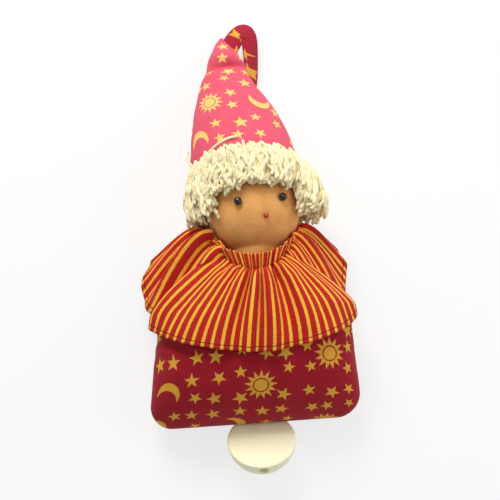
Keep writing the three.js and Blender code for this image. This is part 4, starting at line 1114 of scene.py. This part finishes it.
    def lock(self, name: str, low: float, high: float, count: int, seed: int, yarn: Material) -> None:
        """One lock of so many strands between two angles round the head."""
        rng = random.Random(seed)
        mesh = bmesh.new()
        for index in range(count):
            share = (index + rng.random()) / count
            depth = (index * 0.618) % 1.0
            radius = self.strand_radius * rng.uniform(0.85, 1.15)
            self.strand(mesh, self.path(rng, lerp(low, high, share), depth), radius, rng.uniform(0, 60))
        if name == "hair_front":
            for points in self.loose:
                self.strand(mesh, self.curved(points), self.strand_radius * 0.8, rng.uniform(0, 60))
        bmesh.ops.remove_doubles(mesh, verts=mesh.verts, dist=1e-6)
        bmesh.ops.holes_fill(mesh, edges=[edge for edge in mesh.edges if edge.is_boundary], sides=self.sides)
        bmesh.ops.recalc_face_normals(mesh, faces=mesh.faces)
        piece = finished(f"{name}_yarn", mesh)
        dress(piece, yarn)
        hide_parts(name)
        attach(piece, Body.DOLL.value)

    def build(self, yarn: Material) -> None:
        """Model the three locks."""
        first, last = self.stations[0].angle, self.stations[-1].angle
        self.lock("hair_right", first, self.fringe[0], 180, 11, yarn)
        self.lock("hair_front", *self.fringe, 155, 23, yarn)
        self.lock("hair_left", self.fringe[1], last, 180, 37, yarn)


@dataclass
class Collar:
    """The striped ruffle: a strip gathered by its stitches, with a header above and a skirt below."""

    bag: BodyBag
    folds: int = 20
    fine_folds: int = 41
    middle: float = 3.0
    rx: float = 21.0
    rz: float = 20.0
    front: float = -15.0
    side: float = 1.0
    back: float = -8.0
    top_z: float = 50.0
    header: float = 7.5
    flare: tuple[float, float] = (5.2, 2.6)  # of the header at the sides and at the front
    puff: tuple[float, float, float] = (13.0, 16.0, 3.0)  # of the skirt at its right, its left and upwards
    puff_from: float = 0.45
    puff_early: float = 0.58
    gather_lift: float = 2.0
    lift: float = 4.4
    drop: float = 1.5
    cloth_thickness: float = 0.8
    depth: float = 44.0  # of the flat strip, from the header's edge to the hem
    stripe: float = STRIPE_EVERY
    columns: int = 560
    rows: int = 56
    header_share: float = 0.16  # of the rows
    hem_row: float = 0.9  # share of the rows where the strip's length is measured
    # The large folds by their angle and width in degrees and their depth
    large_folds: tuple[tuple[float, float, float], ...] = (
        (36, 4.5, 1.9),
        (69, 5.0, 2.6),
        (98, 4.0, 1.6),
        (127, 5.0, 2.6),
        (152, 4.5, 1.9),
        (170, 4.0, 1.6),
        (14, 4.0, 1.6),
    )
    # The hem by its angle, x, y and z
    hem: tuple[tuple[float, float, float, float], ...] = (
        (0, 55, -12, 15),
        (18, 51, -29, 23),
        (40, 39, -48.5, 37),
        (64, 19, -60, 50),
        (90, -4, -61.5, 55),
        (116, -28, -56, 48),
        (140, -45.5, -43.5, 34),
        (162, -60, -29.5, 20),
        (180, -64, -14, 14),
        (198, -57, 3, 10),
        (220, -40, 6, 5),
        (244, -22, -10, 1.6),
        (270, -1, -18, 1.4),
        (296, 20, -10, 1.6),
        (320, 37, 3, 5),
        (342, 50, 2, 10),
    )

    def hem_point(self, angle: float) -> Vector:
        """A point of the hem on a smooth closed curve."""
        degrees = math.degrees(angle) % 360
        count = len(self.hem)
        at = max(i for i in range(count) if self.hem[i][0] <= degrees)
        following = self.hem[at + 1][0] if at + 1 < count else 360
        t = (degrees - self.hem[at][0]) / (following - self.hem[at][0])
        return bend((self.hem[(at + k) % count][1:] for k in (-1, 0, 1, 2)), t)[0]

    def clearance(self, angle: float, down: float) -> float:
        """How far the cloth's middle keeps from the bag."""
        near_side = 1 - 0.35 * (1 - smooth(math.sin(angle) / 0.6)) * smooth(down)
        lift = lerp(self.gather_lift, self.lift * near_side, min(1.0, 4 * down))
        return lerp(self.drop, lift, smooth((math.sin(angle) + 0.5) / 0.6))

    def gather_point(self, angle: float) -> Vector:
        """A point of the gathering stitches."""
        up = math.sin(angle)
        tilt, dip = (self.front - self.back) / 2, (self.front + self.back) / 2 - self.side
        y = self.side + tilt * up + dip * up * up
        at = Vector((self.middle + self.rx * math.cos(angle), y, self.top_z - self.rz + self.rz * up))
        return self.bag.clear(at, self.clearance(angle, 0.0))

    def header_point(self, angle: float) -> Vector:
        """A point of the header's free edge."""
        at = self.gather_point(angle).copy()
        at.x += self.flare[0] * math.cos(angle)
        at.z = max(2.4, at.z + self.flare[1] * math.sin(angle))
        at.y += self.header
        return at

    def plain_point(self, angle: float, down: float) -> Vector:
        """A point of the cloth before its folds: down is -1 at the header's edge and 1 at the hem."""
        gather = self.gather_point(angle)
        if down <= 0:
            return gather.lerp(self.header_point(angle), -down)
        skirt = gather.lerp(self.hem_point(angle), down)
        across = math.cos(angle)
        at_side = smooth((abs(across) - self.puff_from) / (1 - self.puff_from))
        puff = at_side * math.sin(math.pi * down**self.puff_early)
        skirt.y += puff * self.puff[0 if across > 0 else 1]
        skirt.z += puff * self.puff[2]
        at = self.bag.clear(skirt, self.clearance(angle, down))
        at.z = max(1.4, at.z)
        return at

    def large(self, angle: float, down: float) -> float:
        """How far the large folds carry the cloth: a dent between two ridges, deepest in the skirt."""
        if down <= 0:
            return 0.0
        shown = smooth(down / 0.12) * (1 - 0.55 * smooth((down - 0.6) / 0.4))
        total = 0.0
        for degrees, width, depth in self.large_folds:
            away = abs((math.degrees(angle) - degrees + 180) % 360 - 180) / width
            ridge = math.exp(-((away - 1.9) ** 2))
            total += depth * (ridge - 0.75 * math.exp(-(away**2)))
        return total * shown

    def fold(self, angle: float, down: float) -> float:
        """How far the folds carry the cloth out or in, in millimetres."""
        shown = smooth((math.sin(angle) + 0.55) / 0.5)
        phase = self.folds * angle + 0.9 * math.sin(3 * angle + 1) + 0.6 * math.sin(7 * angle + 2)
        uneven = 1 + 0.35 * math.sin(5 * angle + 0.7) + 0.2 * math.sin(11 * angle + 3)
        if down < 0:
            broad = lerp(0.5, 1.0, -down)
            fine = lerp(0.9, 0.7, -down)
        else:
            broad = lerp(0.6, 1.9, smooth(down / 0.25)) * lerp(1.0, 0.5, smooth((down - 0.35) / 0.65))
            fine = 1.1 * math.exp(-((down / 0.2) ** 2))
        wave = math.cos(phase)
        ridge = math.copysign(abs(wave) ** 0.8, wave)
        small = math.cos(self.fine_folds * angle + 1.7 * math.sin(4 * angle) + 1.3)
        pinch = -0.9 * math.exp(-((down / 0.05) ** 2))
        sway = 0.5 * ripple(angle * 9, down * 3, 1.0, 1.0) * max(0.0, down)
        total = broad * uneven * ridge + fine * small + pinch + sway + self.large(angle, down)
        return lerp(0.4, 1.0, shown) * total

    def down_of(self, v: float) -> float:
        """From the share of the way over the cloth to the place above or below the gathers."""
        if v < self.header_share:
            return -1 + v / self.header_share
        return (v - self.header_share) / (1 - self.header_share)

    def place(self, u: float, v: float) -> Vector:
        """A point of the ruffle: u goes round from the back, v from the header's edge to the hem."""
        angle = from_back(u)
        down = self.down_of(v)
        step = ANGLE_NEAR
        low, high = max(-1.0, down - step), min(1.0, down + step)
        across = self.plain_point(angle + step, down) - self.plain_point(angle - step, down)
        along = self.plain_point(angle, high) - self.plain_point(angle, low)
        normal = along.cross(across).normalized()
        outward = Vector((math.cos(angle), 0, math.sin(angle)))
        if normal.dot(outward) < 0:
            normal = -normal
        at = self.plain_point(angle, down) + normal * self.fold(angle, down)
        at.z = max(0.8, at.z)
        return at

    def strip(self) -> tuple[Cloth, float]:
        """The flat strip of the ruffle, measured along its hem and up from it, and its length."""
        row = [self.place(i / self.columns, self.hem_row) for i in range(self.columns + 1)]
        run = [0.0]
        for a, b in zip(row, row[1:]):
            run.append(run[-1] + (b - a).length)
        count = round(run[-1] / self.stripe)
        length = count * self.stripe

        def cloth(u: float, v: float) -> tuple[float, float]:
            """The place on the flat strip."""
            down = self.down_of(v)
            angle = from_back(u)
            skirt = (self.hem_point(angle) - self.gather_point(angle)).length * 1.06
            up = skirt * (1 - down) if down > 0 else skirt - self.header * down
            return run[round(u * self.columns)] / run[-1] * length, up

        return cloth, length

    def build(self, stripes: Material) -> bpy.types.Object:
        """Model the ruffle and dress it."""
        cloth, length = self.strip()
        ruffle = surface("collar_ruffle", self.columns, self.rows, self.place, cloth, closed=True)
        thicken(ruffle, self.cloth_thickness, 0.0)
        dress(ruffle, stripes)
        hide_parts("collar")
        LOG.info("collar strip %.0f mm long", length)
        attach(ruffle, Body.DOLL.value)
        return ruffle


@dataclass
class PullKnob:
    """The half ball of maple, with the cord that runs to it from the body."""

    middle: Vector = field(default_factory=lambda: Vector((-0.9, -106.3, 19.6)))
    radius: float = 19.3
    edge: float = 1.2
    tilt: float = 34.0
    bore_depth: float = 4.4
    bore: float = 1.7
    knot_bore: float = 2.7
    knot_depth: float = 9.0
    cord_radius: float = 0.9
    cord_route: tuple[tuple[float, float, float], ...] = (
        (0, -51.85, 15.7),
        (0, -57, 15.7),
        (0, -75, 15.7),
        (0, -79.5, 13.1),
        (0, -85, 7.6),
        (-0.2, -89, 5.6),
    )

    def turn(self) -> Matrix:
        """The turn that leans the flat face towards the head."""
        return Matrix.Rotation(math.radians(-self.tilt), 3, "X")

    def along(self) -> Vector:
        """The way of the bore, from the head side to the foot side."""
        lean = math.radians(self.tilt)
        return Vector((0, -math.cos(lean), math.sin(lean)))

    def bore_at(self, distance: float) -> Vector:
        """A point of the bore's axis, from its middle."""
        lean = math.radians(self.tilt)
        up = Vector((0, math.sin(lean), math.cos(lean)))
        return self.middle - up * self.bore_depth + self.along() * distance

    def half_bore(self) -> float:
        """Half of the bore's length inside the ball."""
        return math.sqrt(self.radius**2 - self.bore_depth**2)

    def drill(self, radius: float, start: float, end: float, mouth: float = 0.0) -> bpy.types.Object:
        """A drill's shape along the bore, wider at its far end by mouth."""
        mesh = bmesh.new()
        bmesh.ops.create_cone(
            mesh, cap_ends=True, segments=40, radius1=radius * MM, radius2=(radius + mouth) * MM,
            depth=(end - start) * MM,
        )
        turn = Vector((0, 0, 1)).rotation_difference(self.along() if end > start else -self.along())
        bmesh.ops.rotate(mesh, cent=(0, 0, 0), matrix=turn.to_matrix(), verts=mesh.verts)
        middle = self.bore_at((start + end) / 2)
        bmesh.ops.translate(mesh, vec=metres(*middle), verts=mesh.verts)
        return finished("drill", mesh, flat=True)

    def build(self, wood: Material, yarn: Material) -> None:
        """Turn the half ball, round its rim, drill it and thread the cord."""
        mesh = bmesh.new()
        rim = math.pi / 2 - math.asin(self.edge / self.radius)
        turns = [rim * k / 40 for k in range(41)]
        arc = [(self.radius * math.sin(turn), -self.radius * math.cos(turn)) for turn in turns]
        soft = [
            (self.radius - self.edge * (1 - math.cos(a)) - 0.03, -self.edge * (1 - math.sin(a)))
            for a in (math.pi / 2 * k / 6 for k in range(1, 7))
        ]
        face = [(self.radius - self.edge * 1.6, 0.0), (self.radius * 0.5, 0.12), (0.0, 0.15)]
        profile = [mesh.verts.new((r * MM, 0, h * MM)) for r, h in (*arc, *soft, *face)]
        edges = [mesh.edges.new(pair) for pair in zip(profile, profile[1:])]
        bmesh.ops.spin(
            mesh, geom=[*profile, *edges], cent=(0, 0, 0), axis=(0, 0, 1), angle=math.tau, steps=96,
            use_merge=True,
        )
        bmesh.ops.remove_doubles(mesh, verts=mesh.verts, dist=1e-6)
        bmesh.ops.rotate(mesh, cent=(0, 0, 0), matrix=self.turn(), verts=mesh.verts)
        bmesh.ops.translate(mesh, vec=metres(*self.middle), verts=mesh.verts)
        bmesh.ops.recalc_face_normals(mesh, faces=mesh.faces)
        knob = finished("knob_wood", mesh)
        reach = self.half_bore() + 2
        drills = [
            self.drill(self.bore, -reach, reach),
            self.drill(self.knot_bore, self.half_bore() - self.knot_depth, reach),
            self.drill(self.knot_bore - 0.3, self.half_bore() - 1.3, self.half_bore() + 1.2, 1.5),
        ]
        for tool in drills:
            hole = knob.modifiers.new("bore", "BOOLEAN")
            hole.operation = "DIFFERENCE"
            hole.solver = "EXACT"
            hole.object = tool
        self.settle(knob, drills)
        dress(knob, wood)
        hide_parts("pull_knob")
        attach(knob, Body.KNOB.value)
        self.thread(yarn)

    @staticmethod
    def settle(piece: bpy.types.Object, tools: Iterable[bpy.types.Object]) -> None:
        """Keep a piece's evaluated mesh and remove the tools that shaped it."""
        graph = bpy.context.evaluated_depsgraph_get()
        data = bpy.data.meshes.new_from_object(piece.evaluated_get(graph))
        piece.modifiers.clear()
        piece.data = data
        for polygon in data.polygons:
            polygon.use_smooth = True
        data.set_sharp_from_angle(angle=math.radians(38))
        for tool in tools:
            bpy.data.objects.remove(tool)

    def thread(self, yarn: Material) -> None:
        """Run the cord from the movement to the knot inside the knob."""
        half = self.half_bore()
        inside = [self.bore_at(at) for at in (-half + 0.5, -half + 5, 0.0, half - 8.9)]
        route = [*self.cord_route, *inside]

        def place(u: float, v: float) -> Vector:
            """A point of the braided cord's surface."""
            point, slope = curve(route, v)
            side = slope.cross(Vector((1, 0, 0.05))).normalized()
            over = side.cross(slope.normalized())
            turn = math.tau * u
            thick = self.cord_radius * (1 + 0.06 * math.cos(3 * turn + 60 * v))
            return point + (side * math.cos(turn) + over * math.sin(turn)) * thick

        cord = surface("pull_cord_braid", 14, 110, place, lambda u, v: (u * 5.6, v * 74), closed=True)
        dress(cord, yarn)
        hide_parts("pull_cord")
        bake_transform(cord)


@dataclass
class Movement:
    """The hidden musical movement, stuffing and ties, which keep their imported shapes."""

    finishes: dict[str, Material]
    # Which nodes take each finish; the others are steel
    kinds: dict[str, tuple[str, ...]] = field(default_factory=lambda: {
        "plastic": (
            "case_base", "case_lid", "cord_drum", "cylinder_wheel", "governor_pinion", "governor_fan",
        ),
        "brass": (
            "cord_eyelet", "barrel_lid", "note_cylinder", "cylinder_pinion", "comb_base",
            "bridge_pillar_1", "bridge_pillar_2", "bridge_pillar_3",
        ),
        "wool": ("head_wool",),
        "thread": ("cord_knot", "cord_winding"),
        "tie": ("neck_tie",),
    })

    def build(self, nodes: set[str]) -> None:
        """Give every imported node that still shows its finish."""
        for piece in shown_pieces():
            if piece.name in nodes and not piece.hide_render:
                kind = next((kind for kind, names in self.kinds.items() if piece.name in names), "steel")
                piece.data.materials.clear()
                piece.data.materials.append(self.finishes[kind])


@dataclass
class Studio:
    """A white table, soft lamps from the head's side and the camera over the doll's feet."""

    elevation: float = 77.0
    distance: float = 628.6
    lens: float = 79.2
    roll: float = 4.0
    target: tuple[float, float, float] = (0.0, 0.0, 30.0)
    floor_half: float = 3.0
    table_white: float = 0.92
    table_glow: float = 0.72
    world_strength: float = 0.42

    def camera(self) -> None:
        """Place the camera at the photograph's viewing angle."""
        lean = math.radians(self.elevation)
        up = Vector((0, math.sin(lean), math.cos(lean)))
        back = Vector((0, -math.cos(lean), math.sin(lean)))
        right = Vector((1, 0, 0))
        roll = math.radians(self.roll)
        across = right * math.cos(roll) - up * math.sin(roll)
        upright = right * math.sin(roll) + up * math.cos(roll)
        data = bpy.data.cameras.new("camera")
        data.lens = self.lens
        data.sensor_width = 36.0
        data.clip_start = 0.01
        camera = bpy.data.objects.new("camera", data)
        turn = Matrix((across, upright, back)).transposed()
        place = metres(*self.target) + back * self.distance * MM
        camera.matrix_world = Matrix.Translation(place) @ turn.to_4x4()
        bpy.context.scene.collection.objects.link(camera)
        bpy.context.scene.camera = camera

    def lamp(self, name: str, at: tuple[float, float, float], size: float, watts: float, tint: int) -> None:
        """An area lamp that faces the doll."""
        data = bpy.data.lights.new(name, "AREA")
        data.energy = watts
        data.size = size
        data.color = linear(tint)[:3]
        lamp = bpy.data.objects.new(name, data)
        place = Vector(at)
        aim = (metres(0, 0, 25) - place).to_track_quat("-Z", "Y")
        lamp.matrix_world = Matrix.Translation(place) @ aim.to_matrix().to_4x4()
        bpy.context.scene.collection.objects.link(lamp)

    def table(self) -> None:
        """A white table that keeps the doll's shadow and shows white to the camera."""
        mesh = bmesh.new()
        bmesh.ops.create_grid(mesh, x_segments=4, y_segments=4, size=self.floor_half)
        table = finished("table", mesh, flat=True)
        graph = Graph("white table")
        path = graph.add("LightPath").outputs
        seen = graph.math("MAXIMUM", path["Is Camera Ray"], path["Is Glossy Ray"])
        seen = graph.math("MAXIMUM", seen, path["Is Transmission Ray"])
        diffuse = graph.add("BsdfDiffuse", (*[self.table_white] * 3, 1.0)).outputs[0]
        white = graph.add("Emission", (1.0, 1.0, 1.0, 1.0), 1.0).outputs[0]
        mix = graph.add("MixShader", graph.math("MULTIPLY", seen, self.table_glow), diffuse, white)
        graph.add("OutputMaterial", mix.outputs[0])
        table.data.materials.append(graph.material)
        table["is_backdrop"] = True

    def build(self) -> None:
        """Set the view, the table, the lamps and the sky."""
        scene = bpy.context.scene
        scene.view_settings.view_transform = "Standard"
        self.camera()
        self.table()
        self.lamp("key lamp", (-0.12, 0.68, 0.62), 0.4, 6.0, 0xFFFAF2)
        self.lamp("side lamp", (0.8, 0.1, 0.6), 0.7, 2.6, 0xFFFFFF)
        world = bpy.data.worlds.new("studio")
        world.use_nodes = True
        background = world.node_tree.nodes["Background"]
        background.inputs[0].default_value = (1.0, 1.0, 1.0, 1.0)
        background.inputs[1].default_value = self.world_strength
        scene.world = world


def main() -> None:
    """Load the frame, dress the doll and light it."""
    logging.basicConfig(level=logging.INFO, format="%(message)s")
    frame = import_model()
    Studio().build()
    print_cloth = PrintedCotton("printed cotton").material()
    # The hat's print is a lighter copy of the bag's: painted light on the hat and painted shade on the bag,
    # as the key lamp falls off from the head to the foot
    hat_cloth = PrintedCotton("printed cotton, faded", ground=0xE0566F, motif=0xFFCB72).material()
    strap_cloth = PrintedCotton("printed cotton, strap", ground=0xA81C36, shift=(3.0, 30.0)).material()
    yarn = CottonYarn("cotton yarn").material()
    wool = HiddenFinish("carded wool", colour=0xEEE6D4, roughness=0.95, sheen=0.4).material()
    bag = BodyBag()
    bag.build(print_cloth, wool)
    LOG.info("body bag built")
    head = Head()
    head.build(
        Tricot("cotton tricot").material(),
        Bead("black glass bead", colour=0x0B0A0C).material(),
        Bead("red enamel bead", colour=0xC8341F, roughness=0.2).material(),
    )
    LOG.info("head built")
    hat = Hat()
    hat.build(hat_cloth, strap_cloth, wool)
    LOG.info("hat and strap built")
    Hair(hat, head).build(yarn)
    LOG.info("hair built")
    Collar(bag).build(StripedCotton("striped cotton").material())
    LOG.info("collar built")
    PullKnob().build(Maple("sanded maple").material(), yarn)
    LOG.info("knob and cord built")
    steel = HiddenFinish(
        "rolled steel", colour=0xA9ADB2, metallic=1.0, roughness=0.35, stretch=(0.1, 1.0, 1.0),
    )
    finishes = {
        "plastic": HiddenFinish("moulded ABS", colour=0xE6E4DE, roughness=0.45).material(),
        "brass": HiddenFinish("turned brass", colour=0xC9A455, metallic=1.0, roughness=0.3).material(),
        "steel": steel.material(),
        "wool": wool,
        "thread": yarn,
        "tie": HiddenFinish("waxed thread", colour=0xB5793F, roughness=0.7).material(),
    }
    Movement(finishes).build({entry["node"] for entry in frame["record"]["subparts"]})
    LOG.info("movement dressed")


if __name__ == "__main__":
    main()
